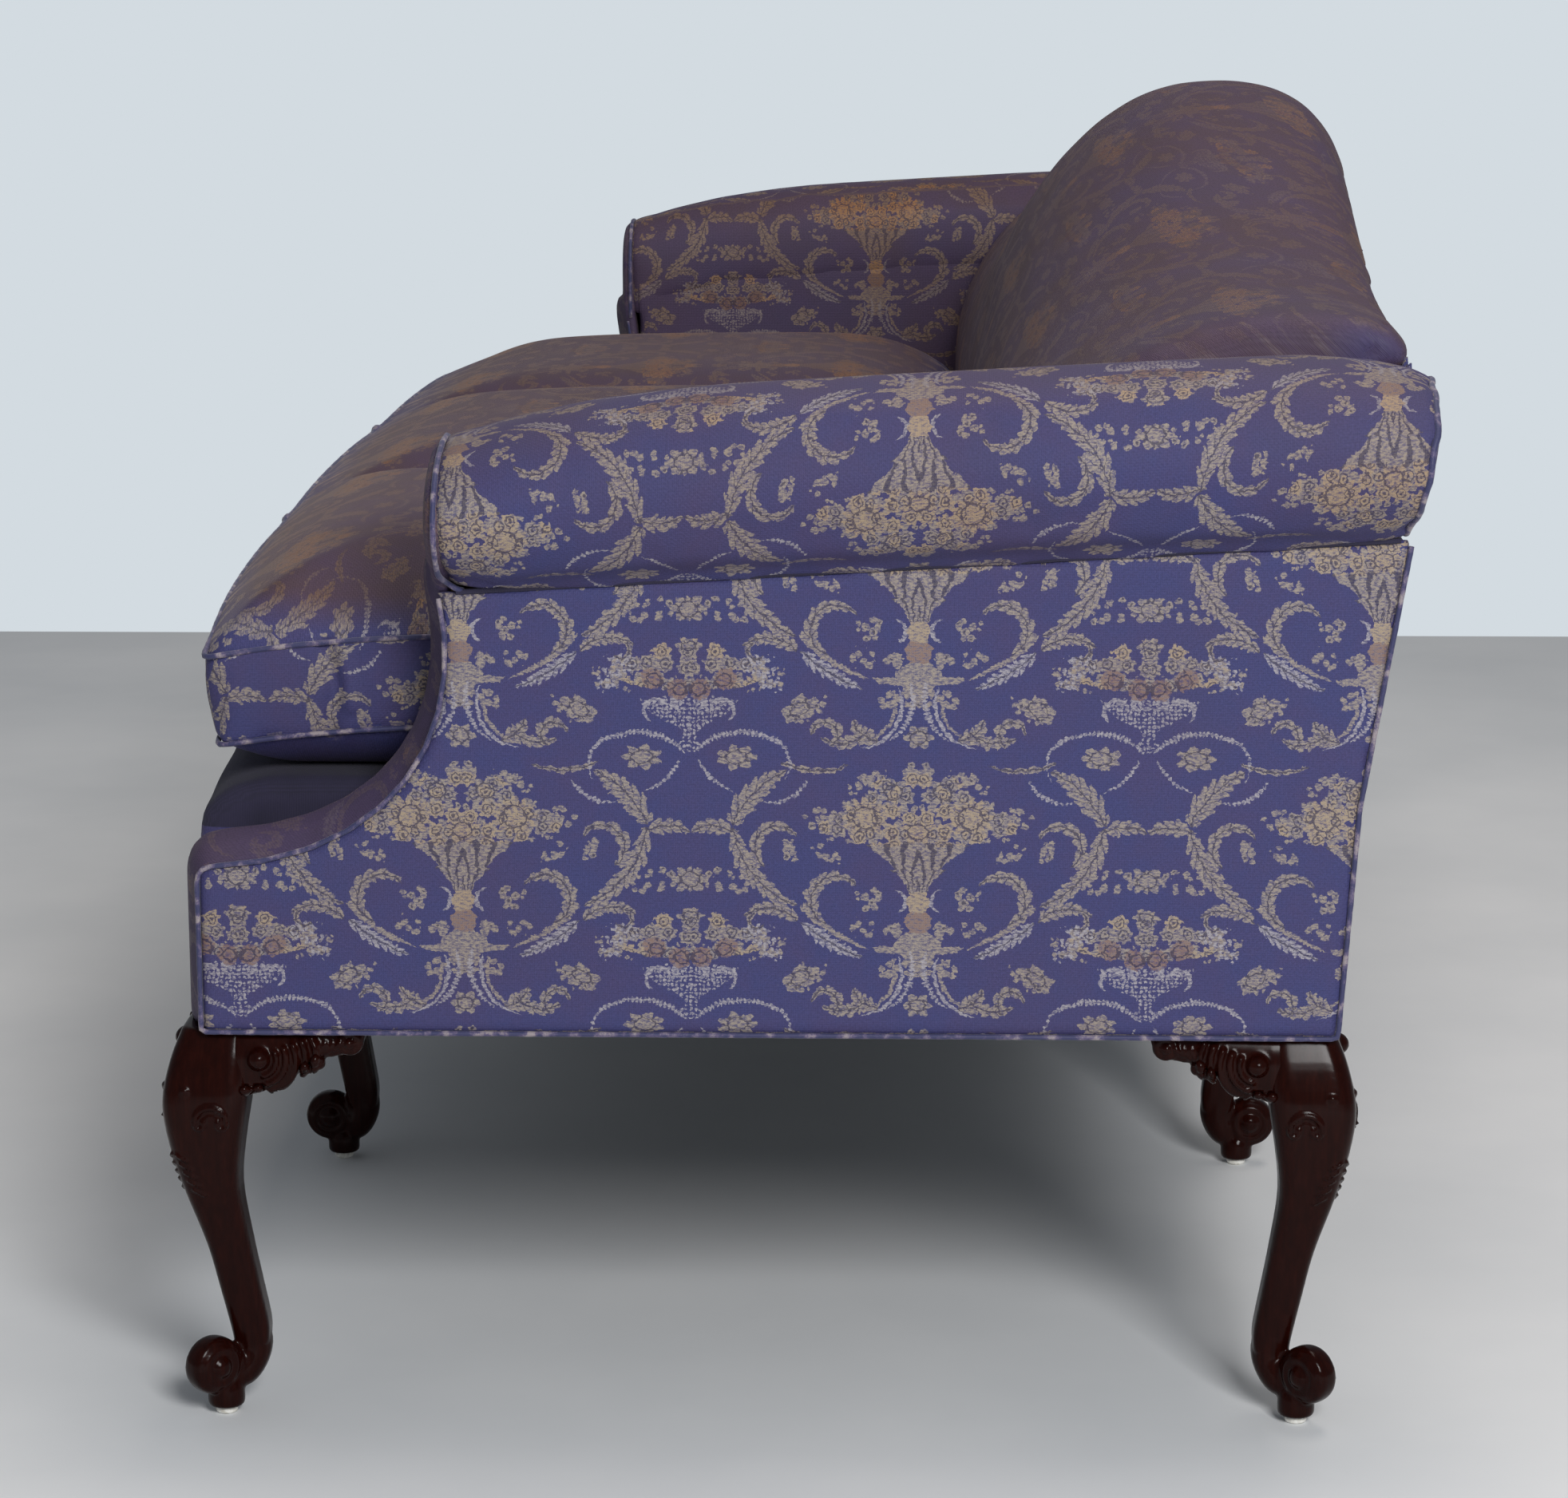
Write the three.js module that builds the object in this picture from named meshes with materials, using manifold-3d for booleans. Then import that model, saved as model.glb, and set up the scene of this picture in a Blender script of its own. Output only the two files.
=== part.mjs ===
// A three-seat camelback sofa: rolled arms, a bowed front, three loose box cushions,
// and eight carved cabriole legs with scroll feet under an upholstered hardwood frame.
// Millimetres. X runs along the sofa, -Y is its front, Z is up, and the floor is z = 0.
import * as THREE from 'three';
import { mergeVertices } from 'three/addons/utils/BufferGeometryUtils.js';
import Module from 'manifold-3d';

const wasm = await Module();
wasm.setup();

// Driving dimensions: the plan and the frame
const FIT = 0.3; // gap between pieces that touch
const SEAT_WIDTH = 1692; // clear width between the arms
const ARM_THICKNESS = 89.5; // inner face to outer panel, below the roll
const FRAME_DEPTH = 754; // front edge to rear edge of the side panels, at the bottom
const FRONT_PADDING = 5; // how far the padded front stands ahead of the frame
const FRONT_BOW = 35; // how far the middle of the front stands ahead of its ends
const LEG_HEIGHT = 276; // floor to the underside of the frame
const LOWER_RAKE_SHARE = 0.07; // lean of the back below the seat platform, per unit of height
const UPPER_RAKE_SHARE = 0.168; // lean of the back above it

// Driving dimensions: timber, boards and covers
const PANEL_THICKNESS = 8; // board and cloth outside the arms and the back
const BOARD_THICKNESS = 25; // side rails and arm boards
const RAIL_THICKNESS = 45; // front and rear rails
const RAIL_HEIGHT = 88;
const CROSS_RAIL_WIDTH = 45;
const COVER_THICKNESS = 1.5; // dust cover under the frame
const WEBBING_THICKNESS = 2.5;
const STRAP_WIDTH = 52;
const CROSS_STRAPS = 8;
const LONG_STRAPS = 2;
const BORDER_THICKNESS = 19.7; // padding ahead of the front rail
const BORDER_TOP_DEPTH = 60; // padding over the front rail, front to back
const BORDER_BULGE = 4;
const DECK_THICKNESS = 61.1; // seat platform, from the webbing up
const POST_WIDTH = 25;
const POST_THICKNESS = 28;
const TOP_RAIL_HEIGHT = 80;

// Driving dimensions: arms
const WING_DROP = 41; // platform down to the low front of the arm
const WING_EASE = 1.2; // rounding there, over the depth of the facing
const ARM_SETBACK = 163; // front of the frame to the front of the arm under its roll
const SEAM_RISE = 143; // platform to the seam under the roll, at the front
const SEAM_CLIMB = 36; // how far the seam rises from front to back
const ROLL_WIDTH = 138;
const ROLL_HEIGHT = 121; // seam to the top of the roll, where it is fullest
const FACING_DEPTH = 8; // how deep the padded front strip is let in
const FACING_BULGE = 15; // and how far it swells
const CAP_BULGE = 6; // swell of the padded end of the roll
const STRIP_RISE = 15; // how far the strip runs up behind that end

// Driving dimensions: back
const SEAT_DEPTH = 509; // front of the frame to the front of the back, at the platform
const BACK_GAP = 0.6; // between the platform and the back's padding
const BACK_ROLL_RISE = 137; // platform to where the back's front starts to roll over
const BACK_LEAN = 5; // how far the front leans back by then
const CREST_RISE = 434; // platform to the top of the hump
const CREST_AHEAD = 14; // crest, ahead of the frame's rear edge
const HUMP_RISE = 122; // how far the hump stands above the ends of the crest
const HUMP_REACH = 430; // half width of the hump
const WELT_DROP = 67; // crest down to the rear welt, in the middle
const WELT_END_DROP = 30; // and at the ends
const WELT_LIP = 12; // rear welt to the top of the top rail

// Driving dimensions: cushions
const CUSHIONS = 3;
const CUSHION_GAP = 2;
const CUSHION_BACK_GAP = 3;
const CUSHION_SEAT_GAP = 0.5;
const LOWER_WELT_RISE = 20; // platform to the lower welt of a cushion
const BOXING_HEIGHT = 65.5; // lower welt to upper welt
const CROWN_RISE = 71; // upper welt to the top of the crown
const BOXING_DRAW = 4; // how far the boxing pulls in
const CUSHION_CORNER = 30;

// Driving dimensions: legs
const LEGS_ALONG = 4; // legs along the front, and again along the rear
const LEG_SIDE_INSET = 29.5; // outer panel to the middle of a corner foot
const LEG_FRONT_INSET = 5;
const LEG_REAR_INSET = 20;
const KNEE_WIDTH = 60;
const SCROLL_RADIUS = 20;
const SCROLL_WIDTH = 25;
const SCROLL_AHEAD = 10; // middle of the scroll, ahead of the pad
const EYE_RISE = 2; // how far the round eye stands out of each face of the scroll
const PAD_RADIUS = 12.7;
const PAD_HEIGHT = 11;
const PAD_OVERLAP = 6.5; // how far the pad runs up into the scroll
const GLIDE_RADIUS = 7.5;
const GLIDE_HEIGHT = 5;
const BRACKET_LENGTH = 84;
const BRACKET_HEIGHT = 52;
const BRACKET_FACE = 17; // how far the bracket's face stands ahead of the foot's middle
const BRACKET_BACK = 12; // and its back behind it
const BRACKET_BULGE = 12;

// Outlines, as shares of the sizes that they follow
const SWEEP_SHARES = [[0, 0], [0.8, 0.03], [1.135, 0.495], [1, 1]];
const ROLL_CREST_SHARE = 0.36; // inner face to the top of the roll, across its width
const ROLL_SHARES = [[0, 0.8], [0.06, 0.88], [0.14, 0.95], [0.28, 1],
  [0.6, 1], [0.86, 0.99], [0.95, 0.93], [1, 0.84]];
const CAP_SHARES = [[0, 1], [0.6, 0.92], [1, 0.72]];
const LEG_SHARES = [[1, 0.34, -0.42], [0.92, 0.48, -0.41], [0.82, 0.57, -0.38],
  [0.71, 0.51, -0.3], [0.59, 0.37, -0.25], [0.44, 0.165, -0.33],
  [0.32, 0.05, -0.415], [0.22, -0.04, -0.485], [0.17, -0.08, -0.48]];
const HEEL_SHARES = [[-0.26, 0.21, 0.22], [-0.28, 0.15, 0.22], [-0.18, 0.1, 0.2], [-0.04, 0.085, 0.14]];
const WHORL_SHARES = [[0.4, 0.42], [0.52, 0.3], [0.66, 0.45], [0.9, 0.4]];
const PAD_SHARES = [[0.96, 0], [1, 0.5], [0.96, 1]];
const GLIDE_SHARES = [[0.9, 0], [1, 0.2], [1, 1]];
const BRACKET_SHARES = [[0, 1, 0.75], [0.1, 0.95, 1.1], [0.19, 0.87, 0.7], [0.28, 0.8, 1],
  [0.37, 0.72, 0.6], [0.46, 0.64, 0.85], [0.55, 0.56, 0.5], [0.64, 0.48, 0.65],
  [0.75, 0.41, 0.2], [0.84, 0.45, 0.6], [0.93, 0.4, 0.55], [1, 0.22, 0.1]];
const RIB_SHARES = [[0, 0], [0.7, 0.3], [1, 0.62], [0.5, 0.92]];
const BRACKET_BACK_SHARE = 0.9; // height of a bracket's back, of its face
const CROWN_SHARES = [[0.04, 0.16], [0.12, 0.4], [0.26, 0.7], [0.45, 0.89], [0.65, 0.98], [0.85, 1]];
const BELLY_SHARES = [[0.04, 0.45], [0.1, 0.8], [0.2, 1]];
const NOSE_SHARES = [[0, 0.42], [0.28, 0.81], [0.75, 1]];
const BACK_ROLL_SHARES = [[0.12, 0.64], [0.56, 1]];
const LEG_ROUND_SHARE = 0.5; // rounding of a leg's corners, of its half width
const CORNER_LIMIT_SHARE = 0.95; // the roundest that a ring of a cushion may be

// How finely the curves are cut
const FRONT_STEPS = 12;
const BACK_STEPS = 24;
const SWEEP_STEPS = 10;
const WING_STEPS = 3;
const ROLL_STEPS = 14;
const FACING_STEPS = 4;
const BACK_ROLL_STEPS = 8;
const BACK_FALL_STEPS = 4;
const SHAFT_STEPS = 10;
const HEEL_SIDES = 8;
const ROUND_SIDES = 12;
const CORNER_STEPS = 2;
const CUSHION_SIDE_STEPS = 4;

// Lines that several pieces follow
const innerX = SEAT_WIDTH / 2;
const outerX = innerX + ARM_THICKNESS;
const boardOuterX = outerX - PANEL_THICKNESS - FIT;
const boardInnerX = boardOuterX - BOARD_THICKNESS;
const frameFront = -FRAME_DEPTH / 2;
const rear = FRAME_DEPTH / 2;
const armFront = frameFront + ARM_SETBACK;
const backFoot = frameFront + SEAT_DEPTH;
const crestY = rear - CREST_AHEAD;
const postFrontInset = PANEL_THICKNESS + FIT + POST_THICKNESS;
const railBottom = LEG_HEIGHT + COVER_THICKNESS + FIT;
const railTop = railBottom + RAIL_HEIGHT;
const deckBottom = railTop + WEBBING_THICKNESS + 2 * FIT;
const deckHeight = deckBottom + DECK_THICKNESS;
const bendHeight = deckHeight + BACK_GAP;
const wingHeight = deckHeight - WING_DROP;
const wingRadius = FACING_DEPTH + WING_EASE;
const seamFront = deckHeight + SEAM_RISE;
const seamRear = seamFront + SEAM_CLIMB;
const backRollStart = deckHeight + BACK_ROLL_RISE;
const crestHeight = deckHeight + CREST_RISE;

function frontLine(x) {
  return frameFront - FRONT_PADDING - FRONT_BOW * (1 - (x / outerX) ** 2);
}

function rearLine(z) {
  const low = Math.min(z, bendHeight) - LEG_HEIGHT;
  const high = Math.max(z - bendHeight, 0);
  return rear + low * LOWER_RAKE_SHARE + high * UPPER_RAKE_SHARE;
}

function seamLine(y) {
  const run = rearLine(seamRear) - armFront;
  return seamFront + (SEAM_CLIMB * (y - armFront)) / run;
}

function hump(x) {
  return Math.exp(-((x / HUMP_REACH) ** 2));
}

function crestLine(x) {
  return crestHeight - HUMP_RISE * (1 - hump(x));
}

function weltLine(x) {
  return crestLine(x) - WELT_END_DROP - (WELT_DROP - WELT_END_DROP) * hump(x);
}

// Mesh helpers
function spread(from, to, steps) {
  return Array.from({ length: steps + 1 }, (_, i) => from + ((to - from) * i) / steps);
}

function closedGeometry(positions, index) {
  const geometry = new THREE.BufferGeometry();
  geometry.setAttribute('position', new THREE.Float32BufferAttribute(positions, 3));
  let volume = 0;
  const corner = (i) => new THREE.Vector3().fromArray(positions, 3 * i);
  for (let i = 0; i < index.length; i += 3) {
    volume += corner(index[i]).dot(corner(index[i + 1]).cross(corner(index[i + 2])));
  }
  geometry.setIndex(volume < 0 ? index.slice().reverse() : index);
  return geometry;
}

// Triangles over a flat loop of points, found in the loop's own plane
function capTriangles(loop) {
  const normal = new THREE.Vector3();
  loop.forEach((p, i) => normal.add(p.clone().cross(loop[(i + 1) % loop.length])));
  normal.normalize();
  const across = loop[1].clone().sub(loop[0]).cross(normal).normalize();
  const up = normal.clone().cross(across);
  const flat = loop.map((p) => new THREE.Vector2(p.dot(across), p.dot(up)));
  return THREE.ShapeUtils.triangulateShape(flat, []);
}

// A closed skin over rings that all hold the same number of points
function loft(rings) {
  const count = rings[0].length;
  const positions = rings.flat().flatMap((p) => [p.x, p.y, p.z]);
  const index = [];
  for (let r = 0; r + 1 < rings.length; r += 1) {
    for (let i = 0; i < count; i += 1) {
      const here = r * count + i;
      const next = r * count + ((i + 1) % count);
      index.push(here, next, next + count, here, next + count, here + count);
    }
  }
  const last = (rings.length - 1) * count;
  capTriangles(rings[0]).forEach(([a, b, c]) => index.push(a, c, b));
  capTriangles(rings[rings.length - 1]).forEach(([a, b, c]) => index.push(last + a, last + b, last + c));
  return closedGeometry(positions, index);
}

// An outline of [y, z] points, made solid from x0 to x1
function acrossX(outline, x0, x1) {
  return loft([x0, x1].map((x) => outline.map(([y, z]) => new THREE.Vector3(x, y, z))));
}

// An outline of [x, y] points, made solid from z0 to z1
function upright(outline, z0, z1) {
  return loft([z0, z1].map((z) => outline.map(([x, y]) => new THREE.Vector3(x, y, z))));
}

function solid(geometry) {
  const bare = geometry.clone();
  bare.deleteAttribute('normal');
  bare.deleteAttribute('uv');
  const merged = mergeVertices(bare);
  return new wasm.Manifold(new wasm.Mesh({
    numProp: 3,
    vertProperties: merged.attributes.position.array,
    triVerts: Uint32Array.from(merged.index.array),
  }));
}

function joined(geometries) {
  const mesh = geometries.map(solid).reduce((whole, piece) => whole.add(piece)).getMesh();
  const geometry = new THREE.BufferGeometry();
  geometry.setAttribute('position', new THREE.BufferAttribute(mesh.vertProperties, 3));
  geometry.setIndex(new THREE.BufferAttribute(mesh.triVerts, 1));
  return geometry;
}

function mirrored(geometry) {
  const copy = geometry.clone();
  copy.scale(-1, 1, 1);
  const index = Array.from(copy.index.array);
  copy.setIndex(index.reverse());
  return copy;
}

// A rectangle with round corners, its long sides cut into steps so that they can bend
function roundedRectangle(x0, x1, y0, y1, radius, arcSteps, sideSteps) {
  const corners = [[x1 - radius, y0 + radius, -0.5], [x1 - radius, y1 - radius, 0],
    [x0 + radius, y1 - radius, 0.5], [x0 + radius, y0 + radius, 1]];
  const points = [];
  corners.forEach(([cx, cy, start], i) => {
    for (let step = 0; step <= arcSteps; step += 1) {
      const angle = Math.PI * (start + (0.5 * step) / arcSteps);
      points.push([cx + radius * Math.cos(angle), cy + radius * Math.sin(angle)]);
    }
    const [nx, ny, nextStart] = corners[(i + 1) % corners.length];
    const [ax, ay] = points[points.length - 1];
    const bx = nx + radius * Math.cos(Math.PI * nextStart);
    const by = ny + radius * Math.sin(Math.PI * nextStart);
    for (let step = 1; step < sideSteps; step += 1) {
      points.push([ax + ((bx - ax) * step) / sideSteps, ay + ((by - ay) * step) / sideSteps]);
    }
  });
  return points;
}

// The front edge of an arm, from the bottom up: points [y, z] and the way out of the arm
function armFrontEdge() {
  const start = frameFront + wingRadius;
  const edge = [{ at: [frameFront, LEG_HEIGHT], out: [-1, 0] }];
  for (const turn of spread(0, 0.5, WING_STEPS)) {
    const out = [-Math.cos(Math.PI * turn), Math.sin(Math.PI * turn)];
    edge.push({ at: [start + wingRadius * out[0], wingHeight - wingRadius * (1 - out[1])], out });
  }
  const [a, b, c, d] = SWEEP_SHARES.map(([y, z]) => new THREE.Vector2(
    start + (armFront - start) * y, wingHeight + (seamFront - wingHeight) * z));
  const sweep = new THREE.CubicBezierCurve(a, b, c, d);
  for (const t of spread(0, 1, SWEEP_STEPS).slice(1)) {
    const point = sweep.getPoint(t);
    const along = sweep.getTangent(t);
    edge.push({ at: [point.x, point.y], out: [-along.y, along.x] });
  }
  return edge;
}

// The outline of an arm from the side, let in behind its facing and ahead of the back
function armOutline(frontInset, rearInset, bottom) {
  const outline = armFrontEdge().map(({ at, out }) => [
    at[0] - frontInset * out[0], at[1] - frontInset * out[1]]);
  outline[0][1] = bottom;
  const topFront = outline[outline.length - 1];
  topFront[1] = seamLine(topFront[0]) - FIT;
  const rearTop = seamLine(rearLine(seamRear)) - FIT;
  outline.push([rearLine(rearTop) - rearInset, rearTop]);
  outline.push([rearLine(bendHeight) - rearInset, bendHeight]);
  outline.push([rearLine(bottom) - rearInset, bottom]);
  return outline;
}

function sidePanel() {
  return acrossX(armOutline(0, 0, LEG_HEIGHT), outerX - PANEL_THICKNESS, outerX);
}

function armBoard() {
  const outline = armOutline(FACING_DEPTH + FIT, PANEL_THICKNESS + FIT, railTop + FIT);
  return acrossX(outline, boardInnerX, boardOuterX);
}

function innerArmPad() {
  const outline = armOutline(FACING_DEPTH + FIT, PANEL_THICKNESS + FIT, railTop + FIT);
  return acrossX(outline, innerX, boardInnerX - FIT);
}

function sideRail() {
  const front = frameFront + FACING_DEPTH + FIT;
  const inset = PANEL_THICKNESS + FIT;
  const outline = [[front, railBottom], [rearLine(railBottom) - inset, railBottom],
    [rearLine(railTop) - inset, railTop], [front, railTop]];
  return acrossX(outline, boardInnerX, boardOuterX);
}

// One section of the arm's roll: flat along its seam, then out, over the top and down inside
function rollSection(y, heightShare, sizeShare) {
  const height = ROLL_HEIGHT * heightShare;
  const seam = seamLine(y) + FIT;
  const inside = ROLL_WIDTH * ROLL_CREST_SHARE;
  const outside = ROLL_WIDTH - inside;
  const middle = [innerX + inside, seam + height / 2];
  const underAngle = -Math.acos((ARM_THICKNESS - inside) / outside);
  const ring = spread(underAngle, Math.PI, ROLL_STEPS).map((angle) => {
    const reach = Math.cos(angle) > 0 ? outside : inside;
    return [middle[0] + reach * Math.cos(angle), middle[1] + (height / 2) * Math.sin(angle)];
  });
  ring.push([innerX, seam], [outerX, seam]);
  return ring.map(([x, z]) => new THREE.Vector3(
    middle[0] + (x - middle[0]) * sizeShare, y, middle[1] + (z - middle[1]) * sizeShare));
}

function armRoll() {
  const front = armFront + FACING_DEPTH + FIT;
  const rings = ROLL_SHARES.map(([run, height]) => {
    const ring = rollSection(front + (rearLine(seamRear) - front) * run, height, 1);
    ring.forEach((p) => {
      p.y += (rearLine(p.z) - rearLine(seamRear)) * run;
    });
    return ring;
  });
  return loft(rings);
}

// The padded strip up the front of an arm, with the padded end of the roll on top of it
function armFacing() {
  const edge = armFrontEdge();
  edge.push({ at: [armFront, seamFront + STRIP_RISE], out: [-1, 0] });
  const rings = edge.map(({ at, out }) => {
    const inside = [at[0] - FACING_DEPTH * out[0], at[1] - FACING_DEPTH * out[1]];
    const ring = [[boardOuterX, ...inside], [innerX, ...inside]];
    spread(0, 1, FACING_STEPS).forEach((share) => {
      const swell = FACING_BULGE * Math.sin(Math.PI * share);
      ring.push([innerX + (boardOuterX - innerX) * share, at[0] + swell * out[0], at[1] + swell * out[1]]);
    });
    return ring.map(([x, y, z]) => new THREE.Vector3(x, y, z));
  });
  const backRing = rollSection(armFront + FACING_DEPTH, ROLL_SHARES[0][1], 1);
  const capRings = CAP_SHARES.map(([ahead, size]) => {
    const ring = rollSection(armFront, ROLL_SHARES[0][1], size);
    ring.forEach((p) => {
      p.y -= CAP_BULGE * ahead;
    });
    return ring;
  });
  return joined([loft(rings), loft([backRing, ...capRings])]);
}

// The bowed front rail and the padding ahead of it and over it
function frontRail() {
  const stations = spread(-boardInnerX + FIT, boardInnerX - FIT, FRONT_STEPS);
  return loft(stations.map((x) => {
    const face = frontLine(x) + BORDER_THICKNESS + FIT;
    const far = face + RAIL_THICKNESS;
    return [[face, railBottom], [far, railBottom], [far, railTop], [face, railTop]]
      .map(([y, z]) => new THREE.Vector3(x, y, z));
  }));
}

function frontBorder() {
  const stations = spread(-innerX + FIT, innerX - FIT, FRONT_STEPS);
  const bellyHeight = LEG_HEIGHT + (wingHeight - LEG_HEIGHT) / 2;
  return loft(stations.map((x) => {
    const face = frontLine(x);
    const nose = NOSE_SHARES.map(([ahead, up]) => [
      face + BORDER_TOP_DEPTH * ahead, wingHeight + (deckHeight - wingHeight) * up]);
    return [[face, LEG_HEIGHT], [face - BORDER_BULGE, bellyHeight],
      [face - BORDER_BULGE / 2, wingHeight], ...nose,
      [face + BORDER_TOP_DEPTH, deckHeight], [face + BORDER_TOP_DEPTH, deckBottom],
      [face + BORDER_THICKNESS, deckBottom], [face + BORDER_THICKNESS, LEG_HEIGHT]]
      .map(([y, z]) => new THREE.Vector3(x, y, z));
  }));
}

function rearRail() {
  const inset = PANEL_THICKNESS + FIT;
  const far = inset + RAIL_THICKNESS;
  const outline = [[railBottom, inset], [railTop, inset], [railTop, far], [railBottom, far]]
    .map(([z, behind]) => [rearLine(z) - behind, z]);
  return acrossX(outline, -boardInnerX + FIT, boardInnerX - FIT);
}

function crossRail(x) {
  const x0 = x - CROSS_RAIL_WIDTH / 2;
  const x1 = x + CROSS_RAIL_WIDTH / 2;
  const railBack = BORDER_THICKNESS + RAIL_THICKNESS + 2 * FIT;
  const end = rearLine(railBottom) - PANEL_THICKNESS - RAIL_THICKNESS - 2 * FIT;
  const outline = [[x0, frontLine(x0) + railBack], [x1, frontLine(x1) + railBack], [x1, end], [x0, end]];
  return upright(outline, railBottom, railTop);
}

// A plan outline with the sofa's bowed front, let in by one distance
function bowedPlan(halfWidth, frontInset, rearY) {
  const outline = spread(-halfWidth, halfWidth, FRONT_STEPS).map((x) => [x, frontLine(x) + frontInset]);
  outline.push([halfWidth, rearY], [-halfWidth, rearY]);
  return outline;
}

function dustCover() {
  const end = rearLine(LEG_HEIGHT) - PANEL_THICKNESS - FIT;
  const outline = bowedPlan(boardOuterX, BORDER_THICKNESS + FIT, end);
  return upright(outline, LEG_HEIGHT, LEG_HEIGHT + COVER_THICKNESS);
}

function seatDeck() {
  const outline = bowedPlan(innerX - FIT, BORDER_TOP_DEPTH + FIT, rear - postFrontInset);
  return upright(outline, deckBottom, deckHeight);
}

// Webbing under the platform: straps both ways, stretched over the rails
function seatWebbing() {
  const half = innerX - FIT;
  const front = frameFront + BORDER_THICKNESS + FIT;
  const end = rearLine(railTop) - postFrontInset - FIT;
  const middle = railTop + FIT + WEBBING_THICKNESS / 2;
  const last = half - STRAP_WIDTH / 2;
  const centre = (front + end) / 2;
  const cross = spread(-last, last, CROSS_STRAPS - 1).map((x) => (
    new THREE.BoxGeometry(STRAP_WIDTH, end - front, WEBBING_THICKNESS).translate(x, centre, middle)));
  const long = spread(front, end, LONG_STRAPS + 1).slice(1, -1).map((y) => (
    new THREE.BoxGeometry(2 * half, STRAP_WIDTH, WEBBING_THICKNESS).translate(0, y, middle)));
  return joined([...cross, ...long]);
}

// A slab that leans with the back: at each station along X, a list of heights
function leaningSlab(stations, heightsAt, behind, thickness) {
  return loft(stations.map((x) => {
    const heights = heightsAt(x);
    const far = heights.map((z) => new THREE.Vector3(x, rearLine(z) - behind, z));
    const near = heights.slice().reverse().map((z) => (
      new THREE.Vector3(x, rearLine(z) - behind - thickness, z)));
    return [...far, ...near];
  }));
}

function backStations(half) {
  return spread(-half, half, BACK_STEPS);
}

function backPanel() {
  const shoulder = innerX - FIT;
  const stations = [-boardOuterX, -innerX, ...backStations(shoulder), innerX, boardOuterX];
  const topAt = (x) => (Math.abs(x) > shoulder ? seamRear - FIT : weltLine(x));
  return leaningSlab(stations, (x) => [LEG_HEIGHT, bendHeight, topAt(x)], 0, PANEL_THICKNESS);
}

function topRail() {
  const topAt = (x) => weltLine(x) - WELT_LIP;
  const heightsAt = (x) => [topAt(x) - TOP_RAIL_HEIGHT, topAt(x)];
  return leaningSlab(backStations(innerX - FIT), heightsAt, PANEL_THICKNESS + FIT, POST_THICKNESS - FIT);
}

function backPost() {
  const top = weltLine(innerX) - WELT_LIP - TOP_RAIL_HEIGHT - FIT;
  const heights = [railTop + FIT, bendHeight, top];
  const far = heights.map((z) => [rearLine(z) - PANEL_THICKNESS - FIT, z]);
  const near = heights.slice().reverse().map((z) => [rearLine(z) - postFrontInset, z]);
  return acrossX([...far, ...near], innerX - FIT - POST_WIDTH, innerX - FIT);
}

// The back's front rolls over to the crest: points [y, z] from low to high
function backRoll(crest) {
  const point = (ahead, up) => new THREE.Vector2(
    backFoot + (crestY - backFoot) * ahead, backRollStart + (crest - backRollStart) * up);
  const start = new THREE.Vector2(backFoot + BACK_LEAN, backRollStart);
  const [low, high] = BACK_ROLL_SHARES.map(([ahead, up]) => point(ahead, up));
  return new THREE.CubicBezierCurve(start, low, high, point(1, 1)).getPoints(BACK_ROLL_STEPS);
}

// The padded inside back: a raked front that rolls over the crest to the rear welt
function backPad() {
  const bottom = bendHeight;
  const lip = PANEL_THICKNESS + FIT;
  const behind = postFrontInset + FIT;
  return loft(backStations(innerX - FIT).map((x) => {
    const crest = crestLine(x);
    const welt = weltLine(x) + FIT;
    const weltY = rearLine(welt);
    const railLine = weltLine(x) - WELT_LIP + FIT;
    const roll = backRoll(crest).map((p) => [p.x, p.y]);
    const fall = spread(0.5, 0, BACK_FALL_STEPS).slice(1).map((turn) => [
      crestY + (weltY - crestY) * Math.cos(Math.PI * turn),
      welt + (crest - welt) * Math.sin(Math.PI * turn)]);
    const inner = [railLine, bottom].map((z) => [rearLine(z) - behind, z]);
    const outline = [[backFoot, bottom], ...roll, ...fall,
      [weltY - lip, welt], [rearLine(railLine) - lip, railLine], ...inner];
    return outline.map(([y, z]) => new THREE.Vector3(x, y, z));
  }));
}

// A loose cushion: boxed sides drawn in between two welts, a crown above, a belly below
function cushion(x0, x1) {
  const rearY = backFoot - CUSHION_BACK_GAP;
  const bottom = deckHeight + CUSHION_SEAT_GAP;
  const lowerWelt = deckHeight + LOWER_WELT_RISE;
  const upperWelt = lowerWelt + BOXING_HEIGHT;
  const frontY = frontLine(outerX);
  const reach = Math.min(x1 - x0, rearY - frontY) / 2;
  const ring = (inset, z) => {
    const radius = Math.min(CUSHION_CORNER + inset / 2, (reach - inset) * CORNER_LIMIT_SHARE);
    const box = [x0 + inset, x1 - inset, frontY + inset, rearY - inset];
    return roundedRectangle(...box, radius, CORNER_STEPS, CUSHION_SIDE_STEPS).map(([x, y]) => {
      const ahead = (rearY - y) / (rearY - frontY);
      return new THREE.Vector3(x, y + (frontLine(x) - frontY) * ahead, z);
    });
  };
  const belly = BELLY_SHARES.slice().reverse();
  const rings = [
    ...belly.map(([inset, down]) => ring(reach * inset, lowerWelt - (lowerWelt - bottom) * down)),
    ring(0, lowerWelt),
    ring(BOXING_DRAW, lowerWelt + BOXING_HEIGHT / 2),
    ring(0, upperWelt),
    ...CROWN_SHARES.map(([inset, rise]) => ring(reach * inset, upperWelt + CROWN_RISE * rise)),
  ];
  return loft(rings);
}

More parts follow.
